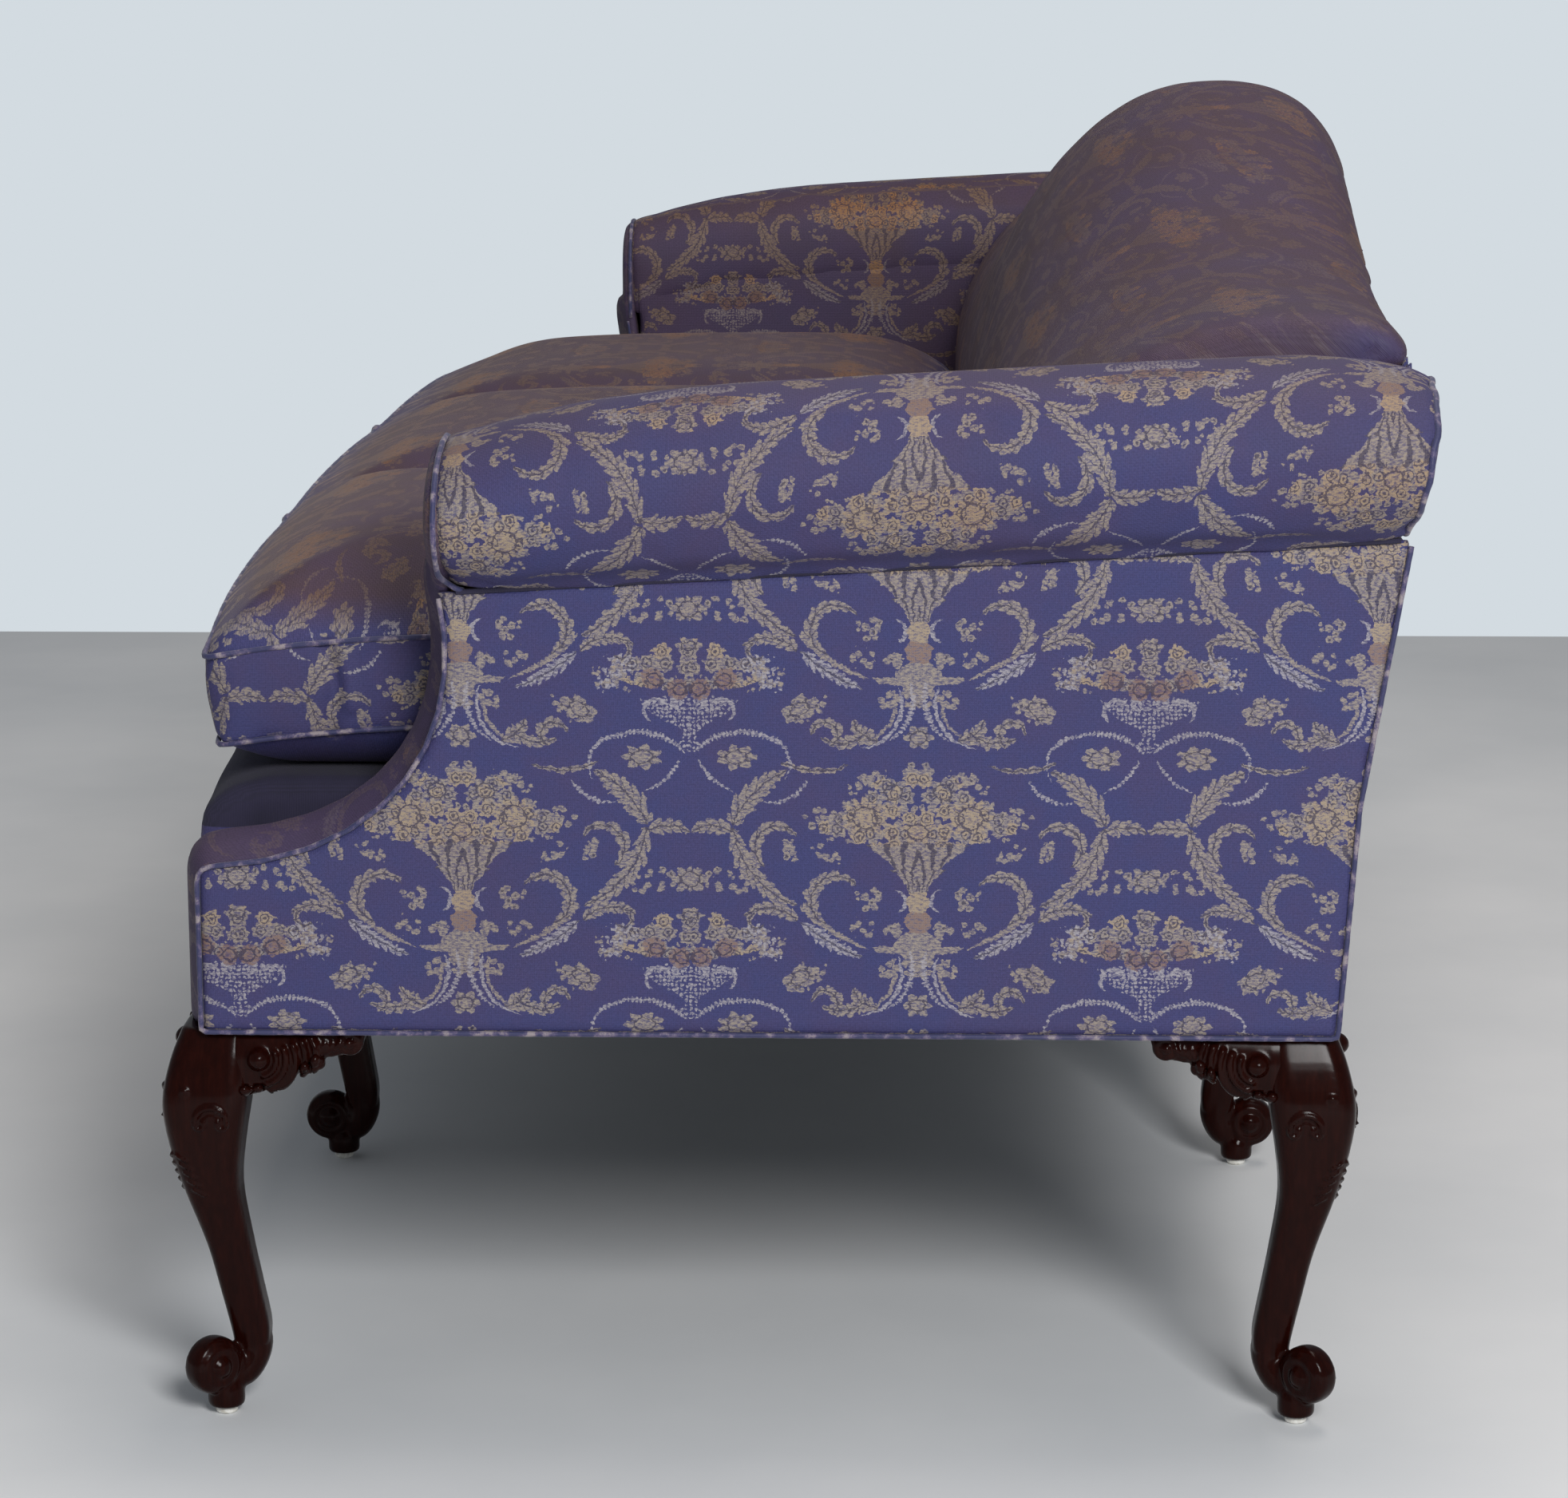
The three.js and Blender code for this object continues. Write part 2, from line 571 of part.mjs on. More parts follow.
// Legs: square in section as they are sawn, leaning out at the knee and in at the ankle
function legShaft(x, y, outX, outY) {
  const line = new THREE.CatmullRomCurve3(LEG_SHARES.map(([up, outer, inner]) => new THREE.Vector3(
    outer * KNEE_WIDTH, inner * KNEE_WIDTH, up * (LEG_HEIGHT - FIT))));
  const rings = spread(0, 1, SHAFT_STEPS).map((t) => {
    const { x: outer, y: inner, z } = line.getPoint(t);
    const half = (outer - inner) / 2;
    const middle = (outer + inner) / 2;
    const cx = x + outX * middle;
    const cy = y + outY * middle;
    const box = [cx - half, cx + half, cy - half, cy + half];
    return roundedRectangle(...box, half * LEG_ROUND_SHARE, CORNER_STEPS, 1)
      .map(([px, py]) => new THREE.Vector3(px, py, z));
  });
  return loft(rings);
}

// A round-sectioned sweep from the ankle, under the heel and up into the scroll
function legHeel(x, y, out) {
  const side = new THREE.Vector3(-out.y, out.x, 0);
  const reach = out.reach;
  const path = new THREE.CatmullRomCurve3(HEEL_SHARES.map(([ahead, up]) => new THREE.Vector3(
    ahead * KNEE_WIDTH * reach, 0, up * LEG_HEIGHT)));
  const radii = HEEL_SHARES.map(([, , share]) => share * KNEE_WIDTH);
  return loft(HEEL_SHARES.map((_, i) => {
    const t = i / (HEEL_SHARES.length - 1);
    const at = path.getPoint(t);
    const along = path.getTangent(t);
    return spread(0, 2, HEEL_SIDES).slice(1).map((turn) => {
      const across = radii[i] * Math.cos(Math.PI * turn);
      const over = radii[i] * Math.sin(Math.PI * turn);
      const u = at.x - along.z * over;
      const at3 = [x + out.x * u + side.x * across, y + out.y * u + side.y * across, at.z + along.x * over];
      return new THREE.Vector3(...at3);
    });
  }));
}

// A turned piece, its axis upright: points [radius, z] between two that lie on the axis
function turned(profile, x, y) {
  const ends = [[0, profile[0][1]], ...profile, [0, profile[profile.length - 1][1]]];
  const points = ends.map(([radius, z]) => new THREE.Vector2(radius, z));
  return new THREE.LatheGeometry(points, ROUND_SIDES).rotateX(Math.PI / 2).translate(x, y, 0);
}

// The scroll: a short whorl that lies on its side, with a round eye on each face
function legScroll(x, y, out) {
  const centre = PAD_HEIGHT + GLIDE_HEIGHT + SCROLL_RADIUS;
  const half = [[0, SCROLL_WIDTH / 2 + EYE_RISE],
    ...WHORL_SHARES.map(([radius, width]) => [radius * SCROLL_RADIUS, width * SCROLL_WIDTH])];
  const lower = half.map(([radius, width]) => [radius, -width]);
  const profile = [...lower, [SCROLL_RADIUS, 0], ...half.slice().reverse()];
  const geometry = new THREE.LatheGeometry(profile.map((p) => new THREE.Vector2(...p)), ROUND_SIDES);
  const along = new THREE.Vector3(out.x, out.y, 0);
  const side = new THREE.Vector3(-out.y, out.x, 0);
  geometry.applyMatrix4(new THREE.Matrix4().makeBasis(along, side, along.clone().cross(side)));
  geometry.translate(x + out.x * SCROLL_AHEAD, y + out.y * SCROLL_AHEAD, centre);
  return geometry;
}

function legPad(x, y) {
  const bottom = GLIDE_HEIGHT + FIT;
  const height = PAD_HEIGHT + PAD_OVERLAP;
  return turned(PAD_SHARES.map(([radius, up]) => [radius * PAD_RADIUS, bottom + height * up]), x, y);
}

function leg({ x, y, outX, outY }) {
  const reach = Math.hypot(outX, outY);
  const out = { x: outX / reach, y: outY / reach, reach };
  return joined([legShaft(x, y, outX, outY), legHeel(x, y, out), legScroll(x, y, out), legPad(x, y)]);
}

function glide({ x, y }) {
  const profile = GLIDE_SHARES.map(([radius, up]) => [radius * GLIDE_RADIUS, up * GLIDE_HEIGHT]);
  return joined([turned(profile, x, y)]);
}

// How far a leg's knee reaches to the side, at the heights where a bracket stands beside it
function kneeReach(outX) {
  const below = LEG_SHARES.findIndex(([up]) => (1 - up) * LEG_HEIGHT > BRACKET_HEIGHT);
  const reaches = LEG_SHARES.slice(0, below + 1).map(([, outer, inner]) => (
    outX === 0 ? (outer - inner) / 2 : -inner));
  return Math.max(...reaches) * KNEE_WIDTH;
}

// A knee bracket: its ribbed face follows the knee, and its end curls into a small volute
function bracket({ x, y, outX }, along, out) {
  const start = kneeReach(outX) + 2 * FIT;
  const top = LEG_HEIGHT - FIT;
  return loft(BRACKET_SHARES.map(([run, heightShare, bulgeShare]) => {
    const s = start + BRACKET_LENGTH * run;
    const height = BRACKET_HEIGHT * heightShare;
    const bulge = BRACKET_BULGE * bulgeShare;
    const face = RIB_SHARES.map(([ahead, down]) => [BRACKET_FACE + bulge * ahead, down]);
    const section = [[-BRACKET_BACK, 0], ...face,
      [BRACKET_FACE / 2, 1], [-BRACKET_BACK, BRACKET_BACK_SHARE]];
    return section.map(([v, down]) => new THREE.Vector3(
      x + along[0] * s + out[0] * v, y + along[1] * s + out[1] * v, top - height * down));
  }));
}

// Finishes
const brocade = { color: 0x4a4f8c, roughness: 0.62, metalness: 0 };
const fadedBrocade = { color: 0x6d5a70, roughness: 0.7, metalness: 0 };
const cushionBrocade = { color: 0x7c6a78, roughness: 0.7, metalness: 0 };
const mahogany = { color: 0x3d1410, roughness: 0.25, metalness: 0 };
const beech = { color: 0xb58f63, roughness: 0.6, metalness: 0 };
const platformCloth = { color: 0x2f3050, roughness: 0.9, metalness: 0 };
const jute = { color: 0x9a7f58, roughness: 0.95, metalness: 0 };
const cambric = { color: 0x151515, roughness: 0.95, metalness: 0 };
const nylon = { color: 0xe9e7df, roughness: 0.4, metalness: 0 };

// Assembly
const sofa = new THREE.Group();

function add(name, geometry, finish) {
  const mesh = new THREE.Mesh(geometry, new THREE.MeshStandardMaterial(finish));
  mesh.name = name;
  sofa.add(mesh);
}

function addPair(name, geometry, finish) {
  add(`${name}_right`, geometry, finish);
  add(`${name}_left`, mirrored(geometry), finish);
}

add('front_rail', frontRail(), beech);
add('rear_rail', rearRail(), beech);
addPair('side_rail', sideRail(), beech);
addPair('arm_board', armBoard(), beech);
addPair('back_post', backPost(), beech);
add('back_top_rail', topRail(), beech);
add('seat_webbing', seatWebbing(), jute);
add('seat_deck', seatDeck(), platformCloth);
add('dust_cover', dustCover(), cambric);
add('front_border', frontBorder(), brocade);
addPair('side_panel', sidePanel(), brocade);
addPair('arm_inner_pad', innerArmPad(), fadedBrocade);
addPair('arm_roll', armRoll(), brocade);
addPair('arm_facing', armFacing(), fadedBrocade);
add('back_pad', backPad(), fadedBrocade);
add('back_panel', backPanel(), brocade);

const cushionWidth = SEAT_WIDTH / CUSHIONS;
const cushionNames = ['seat_cushion_left', 'seat_cushion_middle', 'seat_cushion_right'];
cushionNames.forEach((name, i) => {
  const x0 = -innerX + cushionWidth * i + CUSHION_GAP / 2;
  add(name, cushion(x0, x0 + cushionWidth - CUSHION_GAP), cushionBrocade);
});

const cornerX = outerX - LEG_SIDE_INSET;
const legNames = ['left', 'inner_left', 'inner_right', 'right'];
const rows = [
  { row: 'front', outY: -1, y: frameFront + LEG_FRONT_INSET },
  { row: 'rear', outY: 1, y: rear - LEG_REAR_INSET },
];
rows.forEach(({ row, outY, y }) => {
  spread(-cornerX, cornerX, LEGS_ALONG - 1).forEach((x, i) => {
    const corner = i === 0 || i === LEGS_ALONG - 1;
    const outX = corner ? Math.sign(x) : 0;
    const place = { x, y, outX, outY };
    const name = `${row}_${legNames[i]}_leg`;
    add(name, leg(place), mahogany);
    add(`${name}_glide`, glide(place), nylon);
    if (corner) {
      add(`${name}_bracket_side`, bracket(place, [0, -outY], [outX, 0]), mahogany);
      add(`${name}_bracket_${row}`, bracket(place, [-outX, 0], [0, outY]), mahogany);
    } else {
      add(`${name}_bracket_left`, bracket(place, [-1, 0], [0, outY]), mahogany);
      add(`${name}_bracket_right`, bracket(place, [1, 0], [0, outY]), mahogany);
    }
  });
});

const innerLegX = cornerX / (LEGS_ALONG - 1);
addPair('cross_rail', crossRail(innerLegX), beech);

// The origin lies on the floor, under the middle of the whole sofa
const bounds = new THREE.Box3().setFromObject(sofa);
sofa.position.y = -(bounds.min.y + bounds.max.y) / 2;

export default sofa;
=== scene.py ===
# %% [markdown]
# # A camelback sofa on cabriole legs
#
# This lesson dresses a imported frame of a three-seat sofa. The frame gives every size: the covers, the
# carving and the polish are made here. Lengths are in millimetres and are turned to Blender's metres by
# one factor.

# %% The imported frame
import math

import bmesh
import bpy
import numpy as np
from mathutils import Matrix, Vector, kdtree


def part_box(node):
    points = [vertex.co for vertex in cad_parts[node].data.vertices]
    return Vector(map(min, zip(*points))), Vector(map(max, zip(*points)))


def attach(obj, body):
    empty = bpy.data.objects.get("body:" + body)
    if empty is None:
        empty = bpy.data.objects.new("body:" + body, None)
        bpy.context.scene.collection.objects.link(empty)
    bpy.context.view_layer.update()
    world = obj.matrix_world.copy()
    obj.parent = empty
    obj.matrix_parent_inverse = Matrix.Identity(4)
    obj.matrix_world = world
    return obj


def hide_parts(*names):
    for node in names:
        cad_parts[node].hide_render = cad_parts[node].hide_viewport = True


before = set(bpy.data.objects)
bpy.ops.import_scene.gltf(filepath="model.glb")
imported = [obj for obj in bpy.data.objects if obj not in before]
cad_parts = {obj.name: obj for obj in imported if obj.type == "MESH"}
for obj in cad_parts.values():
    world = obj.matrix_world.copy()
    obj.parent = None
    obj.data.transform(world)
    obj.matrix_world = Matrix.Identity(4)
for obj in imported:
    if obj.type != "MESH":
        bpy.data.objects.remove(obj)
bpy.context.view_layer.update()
MM = 0.001
SAME_POINT = 0.01 * MM

# %% [markdown]
# ## The camera
#
# The sofa is seen from its right-hand end, a little from above, through a long lens. The place and turn
# of the camera were found by matching edges of the real sofa to the frame, so they are written as plain
# numbers.

# %% The camera
CAMERA_PLACE = (3.7326, 0.1067, 1.0335)
CAMERA_YAW, CAMERA_PITCH, CAMERA_ROLL = -0.035, 0.1987, -0.0027
LENS = 100.23
MEASURED_PANEL_FRONT = -0.380

panel_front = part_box("side_panel_right")[0].y


def look_along(yaw, pitch, roll):
    """The camera's turn: its right, its up and the way back from what it sees."""
    level = Vector((-math.cos(yaw), math.sin(yaw), 0))
    side = Vector((math.sin(yaw), math.cos(yaw), 0))
    over = Vector((0, 0, 1))
    forward = math.cos(pitch) * level - math.sin(pitch) * over
    above = math.sin(pitch) * level + math.cos(pitch) * over
    right = math.cos(roll) * side + math.sin(roll) * above
    up = -math.sin(roll) * side + math.cos(roll) * above
    return Matrix((right, up, -forward)).transposed().to_4x4()


camera = bpy.data.objects.new("camera", bpy.data.cameras.new("camera"))
camera.data.lens = LENS
camera.data.sensor_width = 36
camera.data.sensor_fit = "HORIZONTAL"
place = Vector(CAMERA_PLACE) + Vector((0, panel_front - MEASURED_PANEL_FRONT, 0))
camera.matrix_world = Matrix.Translation(place) @ look_along(CAMERA_YAW, CAMERA_PITCH, CAMERA_ROLL)
bpy.context.scene.collection.objects.link(camera)
bpy.context.scene.camera = camera
print("camera at", [round(v, 3) for v in place])

# %% [markdown]
# ## Small helpers
#
# An operator works on whatever is selected, and loading the frame leaves its nodes selected. So every
# step first selects only its own piece. Modifiers are applied at once, which keeps each finished piece
# a plain mesh.


# %% Helpers for pieces
def select_only(*pieces):
    """Selects these pieces alone, the first one active."""
    bpy.ops.object.select_all(action="DESELECT")
    for piece in pieces:
        piece.select_set(True)
    bpy.context.view_layer.objects.active = pieces[0]


def placed(name, data):
    """A new object in the scene, made of this data."""
    piece = bpy.data.objects.new(name, data)
    bpy.context.scene.collection.objects.link(piece)
    return piece


def put_right(piece, merge=True, turn_out=True):
    """Merges the points that lie together and turns the faces outward."""
    select_only(piece)
    bpy.ops.object.mode_set(mode="EDIT")
    bpy.ops.mesh.select_all(action="SELECT")
    if merge:
        bpy.ops.mesh.remove_doubles(threshold=SAME_POINT)
    if turn_out:
        bpy.ops.mesh.normals_make_consistent(inside=False)
    bpy.ops.object.mode_set(mode="OBJECT")


def apply(piece, kind, **settings):
    """Adds one modifier and applies it."""
    select_only(piece)
    modifier = piece.modifiers.new(kind.lower(), kind)
    for name, value in settings.items():
        setattr(modifier, name, value)
    bpy.ops.object.modifier_apply(modifier=modifier.name)


def points_of(piece):
    """The piece's points as rows of x, y, z, in metres."""
    flat = np.empty(3 * len(piece.data.vertices))
    piece.data.vertices.foreach_get("co", flat)
    return flat.reshape(-1, 3)


def normals_of(piece):
    """The way out of the surface at each point."""
    flat = np.empty(3 * len(piece.data.vertices))
    piece.data.vertices.foreach_get("normal", flat)
    return flat.reshape(-1, 3)


def move_points(piece, points):
    """Puts the piece's points at these places, in metres."""
    piece.data.vertices.foreach_set("co", points.ravel())
    piece.data.update()


def smooth(piece):
    """Shades the piece without facets."""
    select_only(piece)
    bpy.ops.object.shade_smooth()


def copied(piece, name):
    """A copy with its own mesh."""
    twin = piece.copy()
    twin.data = piece.data.copy()
    twin.name = twin.data.name = name
    bpy.context.scene.collection.objects.link(twin)
    return twin


def mirrored(piece, name, way=(-1, 1, 1)):
    """A copy seen as in a mirror, with its faces turned out again."""
    twin = copied(piece, name)
    select_only(twin)
    twin.scale = way
    bpy.ops.object.transform_apply(location=False, rotation=False, scale=True)
    put_right(twin, merge=False)
    return twin


def joined(name, pieces):
    """One object from several."""
    select_only(*pieces)
    bpy.ops.object.join()
    pieces[0].name = pieces[0].data.name = name
    return pieces[0]


def tapered_tube(points, radii, closed=False, sides=5):
    """A round tube along points, in millimetres, each with its own radius; its ends are closed."""
    curve = bpy.data.curves.new("tube", "CURVE")
    curve.dimensions = "3D"
    curve.bevel_depth = MM
    curve.bevel_resolution = sides
    curve.use_fill_caps = not closed
    line = curve.splines.new("POLY")
    line.points.add(len(points) - 1)
    line.use_cyclic_u = closed
    for point, at, radius in zip(line.points, points, radii):
        point.co = (*(Vector(at) * MM), 1)
        point.radius = radius
    select_only(placed("tube", curve))
    bpy.ops.object.convert(target="MESH")
    return bpy.context.object


def carve(piece, strokes, through=None):
    """Raises or sinks the surface along lines: each is (points, half width, height), in millimetres.

    Through an axis, a line is drawn on whatever surface faces along that axis, however deep it is.
    """
    points, normals = points_of(piece), normals_of(piece)
    spots = points.copy()
    if through is not None:
        spots[:, through] = np.where(normals[:, through] > 0.15, 0, 1)
    lift = np.zeros(len(points))
    for line, width, height in strokes:
        line = np.array(line, float) * MM
        near = np.full(len(points), np.inf)
        for a, b in zip(line[:-1], line[1:]):
            t = np.clip(((spots - a) @ (b - a)) / max((b - a) @ (b - a), 1e-12), 0, 1)
            near = np.minimum(near, np.linalg.norm(spots - a - t[:, None] * (b - a), axis=1))
        lift += height * MM * np.maximum(0, 1 - (near / (width * MM)) ** 2) ** 1.5
    move_points(piece, points + normals * lift[:, None])


def dress(piece, body, slot, material, *nodes):
    """Puts a finished piece on its body, in place of the nodes that it stands for."""
    piece.data.materials.clear()
    piece.data.materials.append(material)
    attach(piece, body)
    if nodes:
        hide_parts(*nodes)
    print(piece.name, "faces", len(piece.data.polygons))


def dress_both(piece, slot, material, node):
    """Dresses a right-hand piece and its mirror image on the left; the names end in the side."""
    twin = mirrored(piece, piece.name.replace("_right", "_left"))
    for each, side in ((piece, "right"), (twin, "left")):
        dress(each, "frame", slot, material, f"{node}_{side}")
    return piece, twin


# %% Helpers for materials
def linear(colour):
    """A web colour as Blender's linear light."""
    parts = [int(colour[i:i + 2], 16) / 255 for i in (1, 3, 5)]
    return [*(p / 12.92 if p <= 0.04045 else ((p + 0.055) / 1.055) ** 2.4 for p in parts), 1]


def add(tree, kind, inputs=(), stops=(), out=0, **settings):
    """Adds a node and gives one of its outputs: the first, unless out says which.

    The kind may be followed by the node's operation. Inputs are set, or linked to a socket, by place or name.
    """
    kind, *operation = kind.split()
    made = tree.nodes.new("ShaderNode" + kind)
    if operation:
        made.operation = operation[0]
    for name, value in settings.items():
        setattr(made, name, value)
    for place, value in inputs.items() if isinstance(inputs, dict) else enumerate(inputs):
        if isinstance(value, bpy.types.NodeSocket):
            tree.links.new(value, made.inputs[place])
        elif value is not None:
            made.inputs[place].default_value = value
    for i, (place, value) in enumerate(stops):
        ends = {0: 0, len(stops) - 1: -1}
        stop = made.color_ramp.elements[ends[i]] if i in ends else made.color_ramp.elements.new(place)
        stop.position = place
        stop.color = value
    return made.outputs[out] if made.outputs else made


def new_material(name):
    """An empty material with its output, and its node tree."""
    material = bpy.data.materials.new(name)
    material.use_nodes = True
    material.node_tree.nodes.clear()
    return material, material.node_tree


def polish(tree, **sockets):
    """Ends a material in one Principled shader."""
    shader = add(tree, "BsdfPrincipled", {name.replace("_", " "): value for name, value in sockets.items()})
    add(tree, "OutputMaterial", [shader])


# %% [markdown]
# ## Mahogany
#
# The legs are stained mahogany under a glossy lacquer. The stain hides most of the figure, so the grain
# is a faint streak along the leg, and the lacquer gives sharp highlights that break up a little over
# the carving.

# %% Mahogany
mahogany, tree = new_material("stained_mahogany")
at = add(tree, "TexCoord", out="Object")
long_grain = add(tree, "Mapping", {"Vector": at, "Scale": (260, 260, 16)})
grain = add(tree, "TexNoise", {"Vector": long_grain, "Scale": 1, "Detail": 5, "Roughness": 0.6})
cloudy = add(tree, "TexNoise", {"Vector": at, "Scale": 34, "Detail": 3})
stain = add(tree, "ValToRGB", [grain], stops=[(0.3, linear("#190503")), (0.52, linear("#1f0704")),
                                              (0.75, linear("#270b06"))])
gloss = add(tree, "MapRange", [cloudy, 0.3, 0.7, 0.15, 0.22])
ripple = add(tree, "TexNoise", {"Vector": at, "Scale": 420, "Detail": 2})
lacquer = add(tree, "Bump", {"Strength": 0.04, "Distance": 0.0004, "Height": ripple})
polish(tree, Base_Color=stain, Roughness=gloss, Normal=lacquer, Specular_IOR_Level=0.11)

# %% [markdown]
# ## Inner timber and working cloths
#
# The frame under the covers is planed beech: a pale, even wood with short flecks. The webbing is jute, the
# platform under the cushions a plain cotton, and the cover under the seat a black cambric. The cotton is made
# very dark as painted shade: the platform lies in the cushions' shadow, and the same cotton fills the seam
# under each arm roll as a painted shadow line. The glides are white nylon.

# %% Beech
beech, tree = new_material("planed_beech")
at = add(tree, "TexCoord", out="Object")
flecks = add(tree, "Mapping", {"Vector": at, "Scale": (60, 400, 400)})
fleck = add(tree, "TexNoise", {"Vector": flecks, "Scale": 1, "Detail": 4})
timber = add(tree, "ValToRGB", [fleck], stops=[(0.35, linear("#8f6b44")),
                                               (0.6, linear("#b58f63"))])
saw = add(tree, "Bump", {"Strength": 0.2, "Distance": 0.0005, "Height": fleck})
polish(tree, Base_Color=timber, Roughness=0.6, Normal=saw)


# %% Plain woven cloths
def plain_cloth(name, thread, dark, light, roughness):
    """A plain weave: warp and weft threads of one width, in millimetres, over a faint cloudiness."""
    material, tree = new_material(name)
    at = add(tree, "TexCoord", out="Object")
    pitch = math.pi / (thread * MM) / 10
    wave = {"Vector": at, "Scale": pitch, "Distortion": 0.6}
    threads = [add(tree, "TexWave", wave, bands_direction=way, out=1) for way in "XY"]
    both = add(tree, "Math MULTIPLY", threads)
    cloud = add(tree, "TexNoise", {"Vector": at, "Scale": 22, "Detail": 4})
    mixed = add(tree, "Math MULTIPLY_ADD", [both, 0.5, cloud])
    colour = add(tree, "ValToRGB", [mixed], stops=[(0.3, linear(dark)), (0.85, linear(light))])
    weave = add(tree, "Bump", {"Strength": 0.4, "Distance": thread * MM / 2, "Height": both})
    polish(tree, Base_Color=colour, Roughness=roughness, Normal=weave, Sheen_Weight=0.03)
    return material


jute = plain_cloth("woven_jute", 2.4, "#6f5836", "#a98d62", 0.95)
# A very dark cotton: painted shade for the platform and for the seams under the rolls.
cotton_painted_shade = plain_cloth("dark_cotton_painted_shade", 1.2, "#1c1a2c", "#2d2942", 0.9)
cambric = plain_cloth("black_cambric", 0.8, "#0d0d0e", "#202022", 0.95)
nylon, tree = new_material("moulded_nylon")
at = add(tree, "TexCoord", out="Object")
scuff = add(tree, "TexNoise", {"Vector": at, "Scale": 300, "Detail": 3})
white = add(tree, "ValToRGB", [scuff], stops=[(0.3, linear("#c9c5b8")),
                                              (0.6, linear("#efede6"))])
polish(tree, Base_Color=white, Roughness=0.42)

# %% [markdown]
# ## The brocade's drawing
#
# The sofa is covered in a furnishing brocade: a satin ground in violet blue, with a figure of urns,
# fruit bowls and acanthus scrolls woven in beige, gold, brown and pale lilac. Such a pattern repeats
# every 291 mm across and every 177 mm up, and each repeat is its own mirror image. It could be a
# picture, but drawn with nodes it stays sharp at any size. The cloth's own map is folded into one half
# repeat, and each motif is then a short test in it. Axes: the fruit bowl stands at 0 mm across, the urn
# at 145.6 mm.

# %% One half repeat of the drawing
HALF_REPEAT, RISE_REPEAT = 145.6, 177

# Leaves and ribbons along an arc, in the fold that is low or half a repeat higher: centre, radius, from
# and to in degrees, half width, lobes along the leaf, lobe depth, slant of the lobes, and the yarn that
# it is woven in.
LEAVES = {
    "high": [
        ((33, -29), 41, 138, 48, 2.3, 24, 1, 0, "pearl"),
        ((45, -9), 19, 95, -35, 1.3, 12, 1, 0, "pearl"),
        ((38, 6), 34, 200, 254, 1.6, 10, 1, 0, "pearl"),
        ((52, -8), 26, -25, -102, 1.7, 11, 1, 0, "pearl"),
    ],
    "low": [
        ((91, -76), 69.5, 157, 115, 8.8, 6, 0.42, 6, "beige"),
        ((82, 40), 53, 243, 292, 2.3, 5, 0.4, 3, "beige"),
        ((14, -77), 27.5, 60, 120, 6, 4, 0.5, 5, "beige"),
        ((92, -42), 65, 187, 249, 7.2, 8, 0.45, 6, "beige"),
        ((56, -64), 14.5, 238, 28, 4.6, 5, 0.4, 4, "beige"),
        ((50, -128), 24.5, 40, 130, 5.4, 7, 0.4, 5, "beige"),
        ((43, -112), 5.4, 110, 330, 2, 3, 0.3, 1, "beige"),
        ((93.5, -99), 16.5, 250, 36, 5.4, 8, 0.4, 5, "beige"),
        ((150.6, -26.6), 110, 223, 251, 2.2, 20, 0.4, 0, "beige"),
        ((150.6, -26.6), 117, 227, 250, 5.2, 8, 0.6, 8, "pearl"),
        ((130, -99), 7.4, -75, 85, 1.5, 4, 0.3, 0, "pearl"),
        ((105.6, -146), 29.5, 22, -84, 1.5, 14, 0.3, 0, "pearl"),
        ((105.6, -146), 25.5, 20, -78, 1.5, 16, 0.4, 0, "beige"),
        ((110, -143), 32, 20, -60, 2.4, 16, 1, 0, "pearl"),
        ((121, -153), 17, 268, 192, 6.6, 4, 0.45, 6, "beige"),
        ((96, -149), 23, 318, 238, 5, 5, 0.45, 5, "beige"),
        ((86, -167), 8.4, -60, 178, 4, 5, 0.4, 3, "beige"),
        ((21, -151), 7.6, -60, 200, 1.5, 4, 0.2, 0, "pearl"),
    ],
}
# Flowers and fruit: centre, half width, height share, turn, petals, and the yarn.
FLOWERS = {
    "high": [((30, -4.5), 13.5, 0.62, 0, 7, "beige")],
    "low": [
        ((0, -85), 12, 0.8, 0, 7, "beige"),
        ((0, -109), 9, 0.6, 0, 5, "beige"),
        ((112, -44), 15, 0.95, 10, 13, "gold"),
        ((145.6, -53), 12, 0.8, 0, 9, "gold"),
        ((130, -27), 11, 0.9, 0, 7, "beige"),
        ((145.6, -168), 10, 0.8, 0, 6, "beige"),
        ((70, -150), 13, 0.6, 30, 5, "beige"),
        ((6, -137), 8, 1, 0, 1, "brown"),
        ((22, -131), 9, 0.85, 30, 1, "brown"),
    ],
}
# Where cloth is strewn with big blooms, small blossoms or berries: centre, half width, height share,
# turn.
STREWN = {
    "bloom": [((140, -49), 58, 0.24, 0), ((140, -30), 28, 0.55, 0), ((0, -126), 50, 0.24, 0),
              ((0, -116), 26, 0.45, 0)],
    "blossom": [((24, -86), 22, 0.5, -12), ((80, -44), 9, 1.1, 30), ((86, -66), 14, 0.55, -30),
                ((112, -22), 17, 0.6, 40), ((116, -46), 46, 0.45, 0), ((114, -98), 13, 0.8, 20),
                ((110, -117), 12, 0.8, 0), ((130, -119), 9, 1, 0), ((64, -66), 7, 1.6, 20),
                ((36, -126), 34, 0.42, -8), ((72, -150), 19, 0.6, 30), ((145.6, -141), 22, 0.5, 0),
                ((126, -144), 9, 1.1, 0), ((145.6, -14), 14, 0.7, 0)],
    "berry": [((44, -122), 17, 0.6, -10), ((52, -132), 11, 0.7, 0), ((8, -145), 20, 0.35, 0)],
}
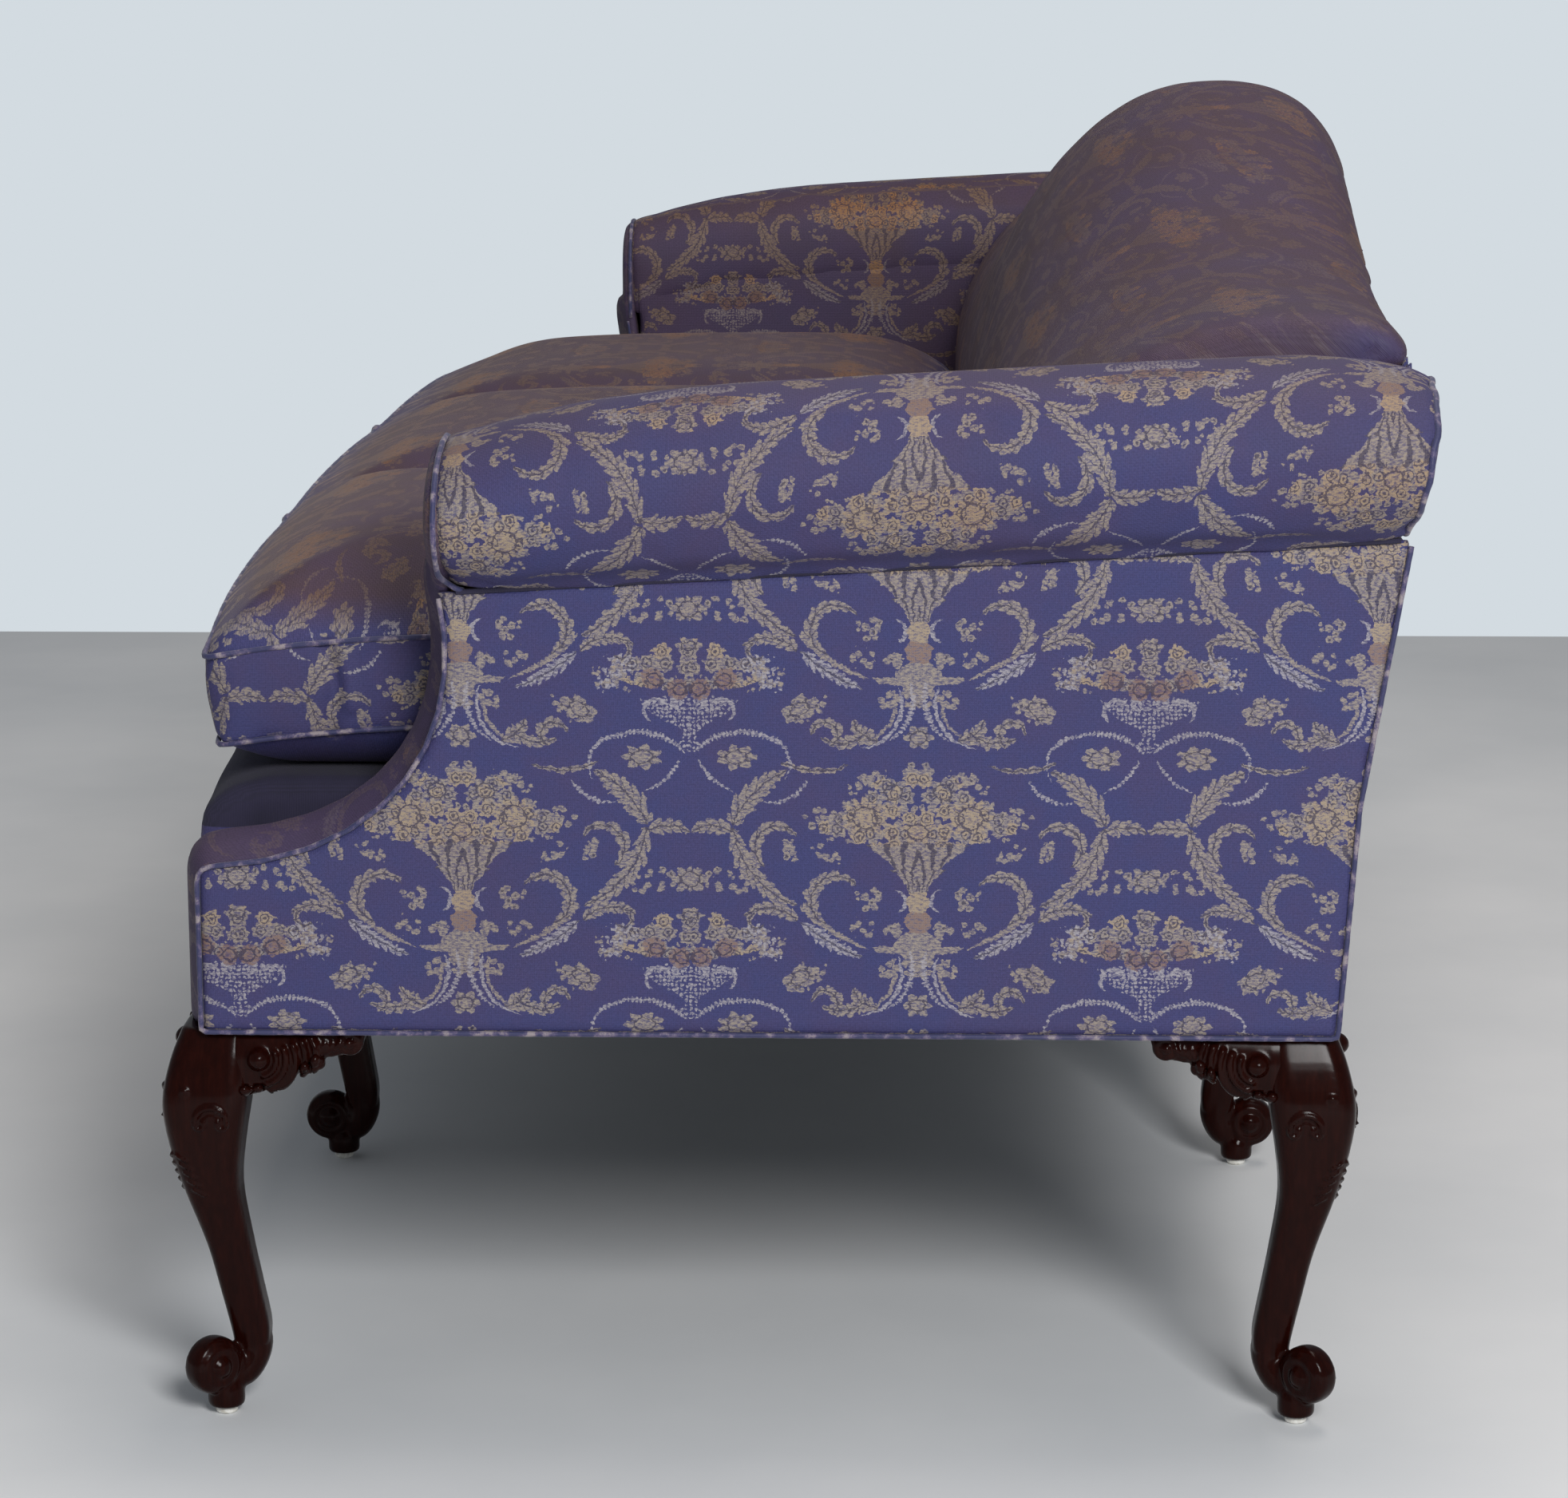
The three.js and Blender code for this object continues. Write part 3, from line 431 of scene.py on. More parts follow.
# Half widths of what stands on the two axes, as shares of 50 mm, from the top down.
URN = [(0, 0), (.01, .66), (.07, .56), (.13, .4), (.2, .3), (.21, .36), (.24, .28), (.32, .15),
       (.4, .1), (.44, .16), (.49, .12), (.53, .1), (.58, .18), (.64, .15), (.68, .11), (.75, .3),
       (.79, .3), (.8, .58), (.84, .5), (.85, .22), (.93, .12), (.99, .05), (1, 0)]
BOWL = [(0, 0), (.01, .62), (.1, .6), (.3, .46), (.45, .28), (.55, .12), (.78, .07), (.84, .16),
        (.93, .1), (1, 0)]
URN_RANGE, BOWL_RANGE, REACH = (-60, -147), (-143, -178), 50

drawing = bpy.data.node_groups.new("brocade_drawing", "ShaderNodeTree")
drawing.interface.new_socket("Cloth", in_out="INPUT", socket_type="NodeSocketVector")
YARNS = ("beige", "gold", "brown", "pearl", "dark")
for yarn in YARNS:
    drawing.interface.new_socket(yarn, in_out="OUTPUT", socket_type="NodeSocketFloat")
cloth = drawing.nodes.new("NodeGroupInput").outputs[0]
cloth = add(drawing, "VectorMath MULTIPLY", [cloth, (1000 / 1.03, 1000 / 1.02, 0)])
waver = add(drawing, "TexNoise", {"Vector": cloth, "Scale": 0.16, "Detail": 1}, out=1)
waver = add(drawing, "VectorMath SUBTRACT", [waver, (0.5, 0.5, 0.5)])
cloth = add(drawing, "VectorMath MULTIPLY_ADD", [waver, (3.2,) * 3, cloth])
ragged = add(drawing, "TexNoise", {"Vector": cloth, "Scale": 0.55, "Detail": 1}, out=1)
ragged = add(drawing, "VectorMath SUBTRACT", [ragged, (0.5, 0.5, 0.5)])
cloth = add(drawing, "VectorMath MULTIPLY_ADD", [ragged, (2.6,) * 3, cloth])
parts = add(drawing, "SeparateXYZ", [cloth]).node
fold = add(drawing, "Math PINGPONG", [parts.outputs[0], HALF_REPEAT])
low_rise = add(drawing, "Math WRAP", [parts.outputs[1], 0, -RISE_REPEAT])
half_rise = RISE_REPEAT / 2
high_rise = add(drawing, "Math WRAP", [parts.outputs[1], half_rise, -half_rise])
folded = {"low": add(drawing, "CombineXYZ", [fold, low_rise]),
          "high": add(drawing, "CombineXYZ", [fold, high_rise])}
woven = {yarn: [] for yarn in YARNS}


def from_centre(tree, where, centre, turn, size, squeeze=1):
    """A place seen from a motif's centre, and its distance, in units of the motif's own size."""
    local = add(tree, "Mapping", {"Vector": where, "Location": (*centre, 0), "Rotation": (0, 0, turn),
                                  "Scale": (size, size * squeeze, 1)}, vector_type="TEXTURE")
    return local, add(tree, "VectorMath LENGTH", [local], out="Value")


def polar(tree, *motif):
    """Distance and angle from a motif's centre."""
    local, length = from_centre(tree, *motif)
    split = add(tree, "SeparateXYZ", [local]).node
    angle = add(tree, "Math ARCTAN2", [split.outputs[1], split.outputs[0]])
    return length, angle


def leaf(tree, where, centre, radius, start, end, width, lobes, depth, slant):
    """A leaf that tapers along an arc, its lobes leaning to the tip. Gives the leaf and its dark folds."""
    half = math.radians(end - start) / 2
    length, angle = polar(tree, where, centre, math.radians(start + end) / 2, radius)
    along = add(tree, "MapRange", [angle, -half, half, 0, 1])
    shares = [(0, 0), (0.04, 0.5), (0.3, 1), (0.7, 0.8), (0.94, 0.3), (1, 0)]
    widths = [(t, [w * width / radius] * 3 + [1]) for t, w in shares]
    body = add(tree, "ValToRGB", [along], stops=widths)
    phase = add(tree, "Math MULTIPLY", [along, lobes * math.pi])
    if slant:
        off = add(tree, "Math SUBTRACT", [length, 1])
        off = add(tree, "Math ABSOLUTE", [off])
        phase = add(tree, "Math MULTIPLY_ADD", [off, -slant * radius / 10, phase])
    lobe = add(tree, "Math SINE", [phase])
    lobe = add(tree, "Math ABSOLUTE", [lobe])
    swell = add(tree, "Math MULTIPLY_ADD", [lobe, depth, 1 - depth])
    half_width = add(tree, "Math MULTIPLY", [body, swell])
    shape = add(tree, "Math COMPARE", [length, 1, half_width])
    if not slant:
        return shape, None
    fold_line = add(tree, "Math LESS_THAN", [lobe, 0.2])
    vein = add(tree, "Math COMPARE", [length, 1, 0.5 / radius])
    lines = add(tree, "Math MAXIMUM", [fold_line, vein])
    return shape, add(tree, "Math MULTIPLY", [lines, shape])


def flower(tree, where, centre, size, squeeze, turn, petals):
    """A round flower or fruit with petals, a ring and dark lines between the petals."""
    length, angle = polar(tree, where, centre, math.radians(turn), size, squeeze)
    turns = add(tree, "Math MULTIPLY", [angle, petals])
    petal = add(tree, "Math COSINE", [turns])
    edge = add(tree, "Math MULTIPLY_ADD", [petal, 0.14, 0.86])
    shape = add(tree, "Math LESS_THAN", [length, edge])
    ring = add(tree, "Math COMPARE", [length, 0.5, 0.6 / size])
    gap = add(tree, "Math LESS_THAN", [petal, -0.82])
    outer = add(tree, "Math GREATER_THAN", [length, 0.5])
    gap = add(tree, "Math MULTIPLY", [gap, outer])
    lines = add(tree, "Math MAXIMUM", [ring, gap])
    return shape, add(tree, "Math MULTIPLY", [lines, shape])


for motif, table in ((leaf, LEAVES), (flower, FLOWERS)):
    for place, rows in table.items():
        for *spec, yarn in rows:
            shape, lines = motif(drawing, folded[place], *spec)
            woven[yarn].append(shape)
            if lines:
                woven["dark"].append(lines)
        print(motif.__name__, "motifs in the", place, "fold:", len(rows))


# %% Strewn flowers, the urn and the bowl
def nearest_area(tree, areas):
    """How far out of the nearest of some ovals a place is: less than 1 is inside."""
    nearest = None
    for centre, size, squeeze, turn in areas:
        _, far = from_centre(tree, folded["low"], centre, math.radians(turn), size, squeeze)
        nearest = add(tree, "Math MINIMUM", [nearest, far]) if nearest else far
    return nearest


blooms = add(drawing, "TexVoronoi", {"Vector": folded["low"], "Scale": 0.088, "Randomness": 0.55},
             voronoi_dimensions="2D").node
bloom_middle = blooms.outputs["Position"]
from_middle = add(drawing, "VectorMath SUBTRACT", [folded["low"], bloom_middle])
split = add(drawing, "SeparateXYZ", [from_middle]).node
angle = add(drawing, "Math ARCTAN2", [split.outputs[1], split.outputs[0]])
angle = add(drawing, "Math MULTIPLY", [angle, 7])
petal = add(drawing, "Math SINE", [angle])
rim = add(drawing, "Math MULTIPLY_ADD", [petal, 0.07, 0.47])
bloom_out = blooms.outputs["Distance"]
bloom = add(drawing, "Math LESS_THAN", [bloom_out, rim])
inside = nearest_area(drawing, STREWN["bloom"])
inside = add(drawing, "Math LESS_THAN", [inside, 1])
bloom = add(drawing, "Math MULTIPLY", [bloom, inside])
ring = add(drawing, "Math COMPARE", [bloom_out, 0.25, 0.035])
eye = add(drawing, "Math LESS_THAN", [bloom_out, 0.09])
ring = add(drawing, "Math MAXIMUM", [ring, eye])
woven["beige"].append(bloom)
woven["dark"].append(add(drawing, "Math MULTIPLY", [bloom, ring]))
tint = add(drawing, "SeparateXYZ", [blooms.outputs["Color"]])
tint = add(drawing, "Math GREATER_THAN", [tint, 0.62])
woven["gold"].append(add(drawing, "Math MULTIPLY", [bloom, tint]))
SMALL_FLOWERS = (("blossom", 0.2, 0.56, 0.34, "beige"), ("berry", 0.3, 0.5, 0, "pearl"))
for kind, scale, size, core, yarn in SMALL_FLOWERS:
    strewn = {"Vector": folded["low"], "Scale": scale, "Randomness": 0.75}
    cells = add(drawing, "TexVoronoi", strewn)
    nearest = nearest_area(drawing, STREWN[kind])
    reach = add(drawing, "MapRange", [nearest, 0.6, 1.05, size, 0])
    woven[yarn].append(add(drawing, "Math LESS_THAN", [cells, reach]))
    inner = add(drawing, "Math MULTIPLY", [reach, core])
    woven["dark"].append(add(drawing, "Math LESS_THAN", [cells, inner]))
net_cells = {"Vector": folded["low"], "Scale": 0.36, "Randomness": 0.3}
grain_bead = add(drawing, "TexVoronoi", net_cells)


def standing(tree, across, up, span, outline):
    """What stands on an axis: its half width at each height comes from one outline."""
    share = add(tree, "MapRange", [up, *span, 0, 1])
    half = add(tree, "ValToRGB", [share], stops=[(t, [w] * 3 + [1]) for t, w in outline])
    return add(tree, "Math LESS_THAN", [across, half]), half


from_bowl = add(drawing, "Math DIVIDE", [fold, REACH])
urn_axis = HALF_REPEAT / REACH
from_urn = add(drawing, "Math MULTIPLY_ADD", [fold, -1 / REACH, urn_axis])
urn, urn_half = standing(drawing, from_urn, low_rise, URN_RANGE, URN)
flutes = add(drawing, "Math DIVIDE", [from_urn, urn_half])
flutes = add(drawing, "Math MULTIPLY", [flutes, 17])
flutes = add(drawing, "Math MULTIPLY_ADD", [low_rise, 0.35, flutes])
flutes = add(drawing, "Math SINE", [flutes])
flutes = add(drawing, "Math GREATER_THAN", [flutes, 0.55])
knob = add(drawing, "Math COMPARE", [low_rise, -113, 7])
vase = add(drawing, "Math COMPARE", [low_rise, -100, 7])
woven["brown"].append(add(drawing, "Math MULTIPLY", [urn, knob]))
woven["gold"].append(add(drawing, "Math MULTIPLY", [urn, vase]))
woven["beige"].append(urn)
upper = add(drawing, "Math GREATER_THAN", [low_rise, -93])
flutes = add(drawing, "Math MULTIPLY", [flutes, upper])
woven["dark"].append(add(drawing, "Math MULTIPLY", [flutes, urn]))
wrapped = add(drawing, "Math WRAP", [parts.outputs[1], -12, -12 - RISE_REPEAT])
bowl, _ = standing(drawing, from_bowl, wrapped, BOWL_RANGE, BOWL)
net = add(drawing, "Math LESS_THAN", [grain_bead, 0.42])
woven["pearl"].append(add(drawing, "Math MULTIPLY", [bowl, net]))

# %% The drawing's yarns
out = drawing.nodes.new("NodeGroupOutput")
for place, yarn in enumerate(YARNS):
    union = woven[yarn][0]
    for shape in woven[yarn][1:]:
        union = add(drawing, "Math MAXIMUM", [union, shape])
    drawing.links.new(union, out.inputs[place])
print("nodes in the drawing", len(drawing.nodes))

# %% [markdown]
# ## Brocade as a finish
#
# The ground is a satin of fine warp threads, so it is smooth, and it goes grey where it is seen along
# the surface: that is sheen. The figure is bound in a twill, whose slanting threads make it sparkle.
# Where the sun has been at the cover for years, blue turns to a brownish mauve and beige to a dull gold. The
# same mix also paints light: upward faces get more of the faded colours as painted sheen, and faces that
# stand in shadow get them as painted shade. How far each place is mixed is written on the piece as a point
# attribute, and every yarn is mixed between its two colours.

# %% Brocade yarns, new and faded; the faded colours also paint sheen and shade
YARN_COLOURS = {
    "ground": ("#3c3e6c", "#4d3b46"), "beige": ("#978c82", "#745a45"), "pearl": ("#9f9aa0", "#705d55"),
    "gold": ("#a08f7a", "#8f6238"), "brown": ("#826b64", "#694836"), "dark": ("#2b2846", "#3d2e3a"),
}


def brocade(name, sheen, spread=0.4):
    """The drawing in its yarns, over satin and twill weaves."""
    material, tree = new_material(name)
    uv = add(tree, "UVMap", uv_map="cloth")
    fading = add(tree, "Attribute", attribute_name="fading", out="Fac")
    drawn = tree.nodes.new("ShaderNodeGroup")
    drawn.node_tree = drawing
    tree.links.new(uv, drawn.inputs[0])
    blotch = add(tree, "TexNoise", {"Vector": uv, "Scale": 7, "Detail": 5})
    blotch = add(tree, "MapRange", [blotch, 0.35, 0.65, -0.14, 0.14])
    fading = add(tree, "Math ADD", [fading, blotch], use_clamp=True)
    twill = add(tree, "Mapping", {"Vector": uv, "Rotation": (0, 0, 0.9)})
    twill = add(tree, "TexWave", {"Vector": twill, "Scale": 150, "Distortion": 1.2, "Detail": 1}, out=1)
    speck = add(tree, "TexNoise", {"Vector": uv, "Scale": 650, "Detail": 1})
    bound = add(tree, "Math MULTIPLY", [twill, speck])
    fleck = add(tree, "Mapping", {"Vector": uv, "Rotation": (0, 0, 0.7), "Scale": (1, 2.4, 1)})
    fleck = add(tree, "TexNoise", {"Vector": fleck, "Scale": 310, "Detail": 2, "Roughness": 0.7})
    strength = add(tree, "MapRange", [fleck, 0.38, 0.58, 0.2, 1])
    plain = add(tree, "Attribute", attribute_name="plain", out="Fac")
    shown = add(tree, "Math SUBTRACT", [1, plain])
    strength = add(tree, "Math MULTIPLY", [strength, shown])
    yarns = {}
    for yarn, (new, old) in YARN_COLOURS.items():
        ends = {0: fading, 6: linear(new), 7: linear(old)}
        yarns[yarn] = add(tree, "Mix", ends, data_type="RGBA", out=2)
    rub = add(tree, "MapRange", [speck, 0.3, 0.7, 0.86, 1.1])
    shot = add(tree, "TexNoise", {"Vector": uv, "Scale": 16, "Detail": 6, "Roughness": 0.7})
    shot = add(tree, "MapRange", [shot, 0.4, 0.66, 0, 0.4])
    yarns["ground"] = add(tree, "Mix", {0: shot, 6: yarns["ground"], 7: linear("#4c3c5e")},
                          data_type="RGBA", out=2)
    colour = add(tree, "Mix", {0: 1.0, 6: yarns["ground"], 7: rub}, data_type="RGBA",
                 blend_type="MULTIPLY", out=2)
    for yarn in ("beige", "pearl", "gold", "brown"):
        cover = add(tree, "Math MULTIPLY", [drawn.outputs[yarn], strength])
        colour = add(tree, "Mix", {0: cover, 6: colour, 7: yarns[yarn]}, data_type="RGBA", out=2)
    line = add(tree, "Math MULTIPLY", [drawn.outputs["dark"], 0.75])
    line = add(tree, "Math MULTIPLY", [line, shown])
    colour = add(tree, "Mix", {0: line, 6: colour, 7: yarns["dark"]}, data_type="RGBA", out=2)
    rough = add(tree, "MapRange", [drawn.outputs["beige"], 0, 1, 0.66, 0.55])
    threads = []
    for direction, scale in (("X", 260), ("Y", 200)):
        wave = {"Vector": uv, "Scale": scale, "Distortion": 0.5}
        threads.append(add(tree, "TexWave", wave, bands_direction=direction, out=1))
    relief = add(tree, "Math MULTIPLY", threads)
    relief = add(tree, "Math MULTIPLY_ADD", [bound, 0.8, relief])
    weave = add(tree, "Bump", {"Strength": 0.35, "Distance": 0.0005, "Height": relief})
    polish(tree, Base_Color=colour, Roughness=rough, Normal=weave, Sheen_Weight=sheen,
           Sheen_Roughness=spread, Sheen_Tint=linear("#a89a90"), Specular_IOR_Level=0.3)
    return material


blue_brocade = brocade("blue_brocade", 0.15)
faded_brocade = brocade("faded_brocade", 0.1, 0.2)
cushion_brocade = brocade("cushion_brocade", 0.34, 0.25)

# %% Piping cloth
piping_cloth, tree = new_material("bias_cut_piping")
at = add(tree, "TexCoord", out="Object")
patch = add(tree, "TexNoise", {"Vector": at, "Scale": 95, "Detail": 2})
fibre = add(tree, "TexNoise", {"Vector": at, "Scale": 900, "Detail": 2})
patch = add(tree, "Math MULTIPLY_ADD", [fibre, 0.25, patch])
bias = add(tree, "ValToRGB", [patch], stops=[(0.6, linear("#32335a")), (0.69, linear("#5a5070")),
                                             (0.8, linear("#958a8e"))])
ridge = add(tree, "Bump", {"Strength": 0.4, "Distance": 0.0005, "Height": fibre})
polish(tree, Base_Color=bias, Roughness=0.6, Normal=ridge, Sheen_Weight=0.15)

# %% [markdown]
# ## Stuffed pieces
#
# A cover is drawn over stuffing. Each stuffed piece starts as a merged copy of its solid, cut into even
# small faces, so that cloth can bend anywhere. The cloth is then blown up a little from inside, as
# stuffing presses it, and no point may go further than real padding would.


# %% Stuffing and cloth
def stuffing(name, node, cell, relax, *more):
    """An evenly cut, softened copy of one solid, or of solids that lie close."""
    piece = joined(name, [placed(name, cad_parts[each].data.copy()) for each in (node, *more)])
    put_right(piece, turn_out=False)
    apply(piece, "REMESH", mode="VOXEL", voxel_size=cell * MM)
    apply(piece, "SMOOTH", factor=0.5, iterations=relax)
    return piece


def swell(piece, cap, pressure=4, frames=20):
    """Blows the cover up from inside; no point moves further than the cap, in millimetres."""
    start = points_of(piece)
    select_only(piece)
    cloth = piece.modifiers.new("cover", "CLOTH")
    cloth.settings.quality = 4
    cloth.settings.use_pressure = True
    cloth.settings.uniform_pressure_force = pressure
    cloth.settings.effector_weights.gravity = 0
    cloth.point_cache.frame_end = frames
    for step in range(1, frames + 1):
        bpy.context.scene.frame_set(step)
    bpy.ops.object.modifier_apply(modifier=cloth.name)
    bpy.context.scene.frame_set(1)
    moved = points_of(piece) - start
    far = np.linalg.norm(moved, axis=1, keepdims=True)
    held = moved * np.minimum(1, cap * MM / np.maximum(far, 1e-9))
    move_points(piece, start + held)
    apply(piece, "SMOOTH", factor=0.5, iterations=2)
    print(piece.name, "swelled by up to", round(float(far.max()) / MM, 1), "mm, held to", cap)


def finer(piece):
    """Cuts every face in four and rounds the surface."""
    apply(piece, "SUBSURF", levels=1, render_levels=1)


def lay_cloth(piece, where):
    """Writes the cloth's own map, in metres: where() gives each corner's place across and up the cloth."""
    points, normals = points_of(piece), normals_of(piece)
    corners = np.empty(len(piece.data.loops), int)
    piece.data.loops.foreach_get("vertex_index", corners)
    faces = np.empty(3 * len(piece.data.polygons))
    piece.data.polygons.foreach_get("normal", faces)
    sizes = np.empty(len(piece.data.polygons), int)
    piece.data.polygons.foreach_get("loop_total", sizes)
    flat = np.repeat(faces.reshape(-1, 3), sizes, axis=0)
    laid = where(points[corners], flat, normals[corners])
    layer = piece.data.uv_layers.get("cloth") or piece.data.uv_layers.new(name="cloth")
    layer.data.foreach_set("uv", laid.ravel())


def box_cloth(across, up, over=0.0):
    """Cloth on flat sides: fronts run along X, ends along Y, and tops lie flat."""
    def where(p, n, _):
        side = np.abs(n)
        end = (side[:, 0] > side[:, 1]) & (side[:, 0] > side[:, 2])
        top = (side[:, 2] >= side[:, 0]) & (side[:, 2] > side[:, 1])
        u = np.where(end, p[:, 1] - over, p[:, 0] - across)
        v = np.where(top, p[:, 1] - over, p[:, 2] - up)
        return np.stack([u, v], axis=1)
    return where


# %% [markdown]
# ## Fading, painted light and welt cord
#
# Light has faded what faces up and what faces the room, so each cover carries its own fading; the same values
# also paint light, as painted sheen on upward faces and painted shade on faces that stand in shadow. The
# edges of the covers are finished with welt cord: a thin cord wrapped in a strip of the same cloth, cut on
# the bias, so that only dashes of the pattern show. It is a tube along the edge of the frame's own solid.


# %% Fading, painted light and cord
CORD_STEP = 5


def fade_and_shade(piece, amount, what="fading"):
    """Writes how far the cover has faded, which also paints sheen and shade, or how far its figure is lost: 0
    is as new and 1 is worst.
    """
    layer = piece.data.attributes.get(what) or piece.data.attributes.new(what, "FLOAT", "POINT")
    faded = amount(points_of(piece), normals_of(piece)) if callable(amount) else amount
    layer.data.foreach_set("value", np.full(len(piece.data.vertices), np.clip(faded, 0, 1), float))


def rim_of(node, outward, flat=0.9):
    """The outline of a solid's side that faces outward: points in order, in millimetres."""
    form = bmesh.new()
    form.from_mesh(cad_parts[node].data)
    bmesh.ops.remove_doubles(form, verts=form.verts, dist=SAME_POINT)
    form.normal_update()
    ahead = {}
    for edge in form.edges:
        facing = [face.normal.dot(Vector(outward)) > flat for face in edge.link_faces]
        if facing.count(True) == 1:
            a, b = edge.verts
            ahead.setdefault(a.index, []).append(b)
            ahead.setdefault(b.index, []).append(a)
    start = min(ahead)
    loop, last, here = [], None, next(v for v in form.verts if v.index == start)
    while True:
        loop.append(np.array(here.co) / MM)
        onward = [v for v in ahead[here.index] if v is not last]
        last, here = here, onward[0]
        if here.index == start:
            break
    form.free()
    return np.array(loop)


def evenly(path, spacing, closed=False):
    """The same path with even steps, its sharp turns softened a little."""
    line = np.vstack([path, path[:1]]) if closed else np.array(path, float)
    run = np.concatenate([[0], np.cumsum(np.linalg.norm(np.diff(line, axis=0), axis=1))])
    count = max(4, int(run[-1] / spacing))
    at = np.linspace(0, run[-1], count + 1)
    even = np.stack([np.interp(at, run, line[:, k]) for k in range(3)], axis=1)
    return even[:-1] if closed else even


def laid_on(path, piece, proud=0.8):
    """The path moved onto a piece's surface, so that the cord sits in its edge."""
    points, normals = points_of(piece), normals_of(piece)
    tree = kdtree.KDTree(len(points))
    for i, p in enumerate(points):
        tree.insert(p, i)
    tree.balance()
    found = [tree.find(Vector(p) * MM)[1] for p in path]
    moved = (points[found] + normals[found] * proud * MM) / MM
    for _ in range(3):
        moved[1:-1] = (moved[:-2] + 2 * moved[1:-1] + moved[2:]) / 4
    return moved


def cord(name, path, body, slot, radius, closed=False, material=None):
    """Welt cord along a path: a tube whose cover is drawn a little uneven by its stitches."""
    line = evenly(path, CORD_STEP, closed)
    steps = np.arange(len(line))
    uneven = 1 + 0.06 * np.sin(steps * 2.4) + 0.04 * np.sin(steps * 0.7)
    piece = tapered_tube(line, radius * uneven, closed, 3)
    piece.name = piece.data.name = name
    smooth(piece)
    dress(piece, body, slot, material or piping_cloth)
    return piece


# %% Arm rolls
SEAM_FRONT, SEAM_CLIMB = 0.573, 0.036 / 0.62
ROLL_FRONT, ROLL_TOP = -0.228, 0.724
ROLL_RISE, WRAP_START, WRAP_RADIUS, INSIDE_FROM = 0.0605, 0.067, 0.075, 1.9
END_WRAP = 6.5
PANEL_AXIS, ARM_AXIS, ARM_FOOT = 0.0645, 0.117, 0.547
LOW_TURN, HIGH_TURN, TURN_RUN = 0.017, 0.022, 0.04
LOW_TURN_FROM, HIGH_TURN_FROM, OUTER_FROM = -0.17, 0.36, 0.90


def seam_line(y):
    """Height of the seam under the arm's roll."""
    return SEAM_FRONT + SEAM_CLIMB * (y - ROLL_FRONT)


roll_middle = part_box("arm_roll_right")[0].x + 0.05


def roll_cloth(p, n, _):
    """The cloth goes up the outside of the roll and over it, upside down; inside, it stands upright."""
    angle = np.arctan2(p[:, 2] - seam_line(p[:, 1]) - ROLL_RISE, p[:, 0] - roll_middle)
    angle = np.where(angle < -math.pi / 2, angle + 2 * math.pi, angle)
    outside = np.stack([p[:, 1] + PANEL_AXIS, -WRAP_START - angle * WRAP_RADIUS], axis=1)
    inside = np.stack([p[:, 1] + ARM_AXIS, p[:, 2] - ARM_FOOT], axis=1)
    end = np.stack([p[:, 0] - roll_middle, p[:, 2] - ARM_FOOT], axis=1)
    laid = np.where(angle[:, None] > INSIDE_FROM, inside, outside)
    return np.where(np.abs(n[:, 1:2]) > 0.75, end, laid)


def rounded_ends(p):
    """The roll's outer corners drawn in, in metres: the low one in front and the high one behind."""
    def turn(share):
        return 1 - np.sqrt(1 - np.clip(share, 0, 1) ** 2)
    outer = np.clip((p[:, 0] - OUTER_FROM) / 0.03, 0, 1)
    low = (seam_line(p[:, 1]) + LOW_TURN - p[:, 2]) / LOW_TURN
    high = (p[:, 2] - ROLL_TOP + HIGH_TURN) / HIGH_TURN
    near_front = np.clip((LOW_TURN_FROM - p[:, 1]) / TURN_RUN, 0, 1)
    near_rear = np.clip((p[:, 1] - HIGH_TURN_FROM) / TURN_RUN, 0, 1)
    moved = p.copy()
    moved[:, 1] += LOW_TURN * turn(low) * near_front * outer - HIGH_TURN * turn(high) * near_rear
    return moved


arm_roll = stuffing("padded_arm_roll_right", "arm_roll_right", 5, 8)
swell(arm_roll, 4)
points = points_of(arm_roll)
points[:, 1] -= END_WRAP * MM * np.clip((-0.200 - points[:, 1]) / 0.015, 0, 1)
move_points(arm_roll, rounded_ends(points))
lay_cloth(arm_roll, roll_cloth)
# The top gets more of the faded colours, partly as sun fading and partly as painted sheen from above; the
# inner side gets them too.
fade_and_shade(arm_roll, lambda p, n: 0.1 + 0.35 * np.clip(n[:, 2], 0, 1) ** 3 + np.clip(-1.6 * n[:, 0], 0, 0.62))
smooth(arm_roll)
for roll in dress_both(arm_roll, "brocade", blue_brocade, "arm_roll"):
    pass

# %% Arm facings
def strip_cloth(p, n, _):
    """Cloth of the facing: across the strip, and up along its sweep."""
    return np.stack([p[:, 0] - 0.82, p[:, 2] + 0.6 * p[:, 1]], axis=1)


CAP_FROM, CAP_MIDDLE, CAP_SHRINK = 0.582, 0.635, 0.04
facing = stuffing("padded_facing_right", "arm_facing_right", 4, 3)
points = points_of(facing)
cap = np.clip((points[:, 2] - CAP_FROM) / 0.006, 0, 1)[:, None]
points -= (points - [roll_middle + 0.02, 0, CAP_MIDDLE]) * [1, 0, 1] * CAP_SHRINK * cap
move_points(facing, points)
lay_cloth(facing, strip_cloth)
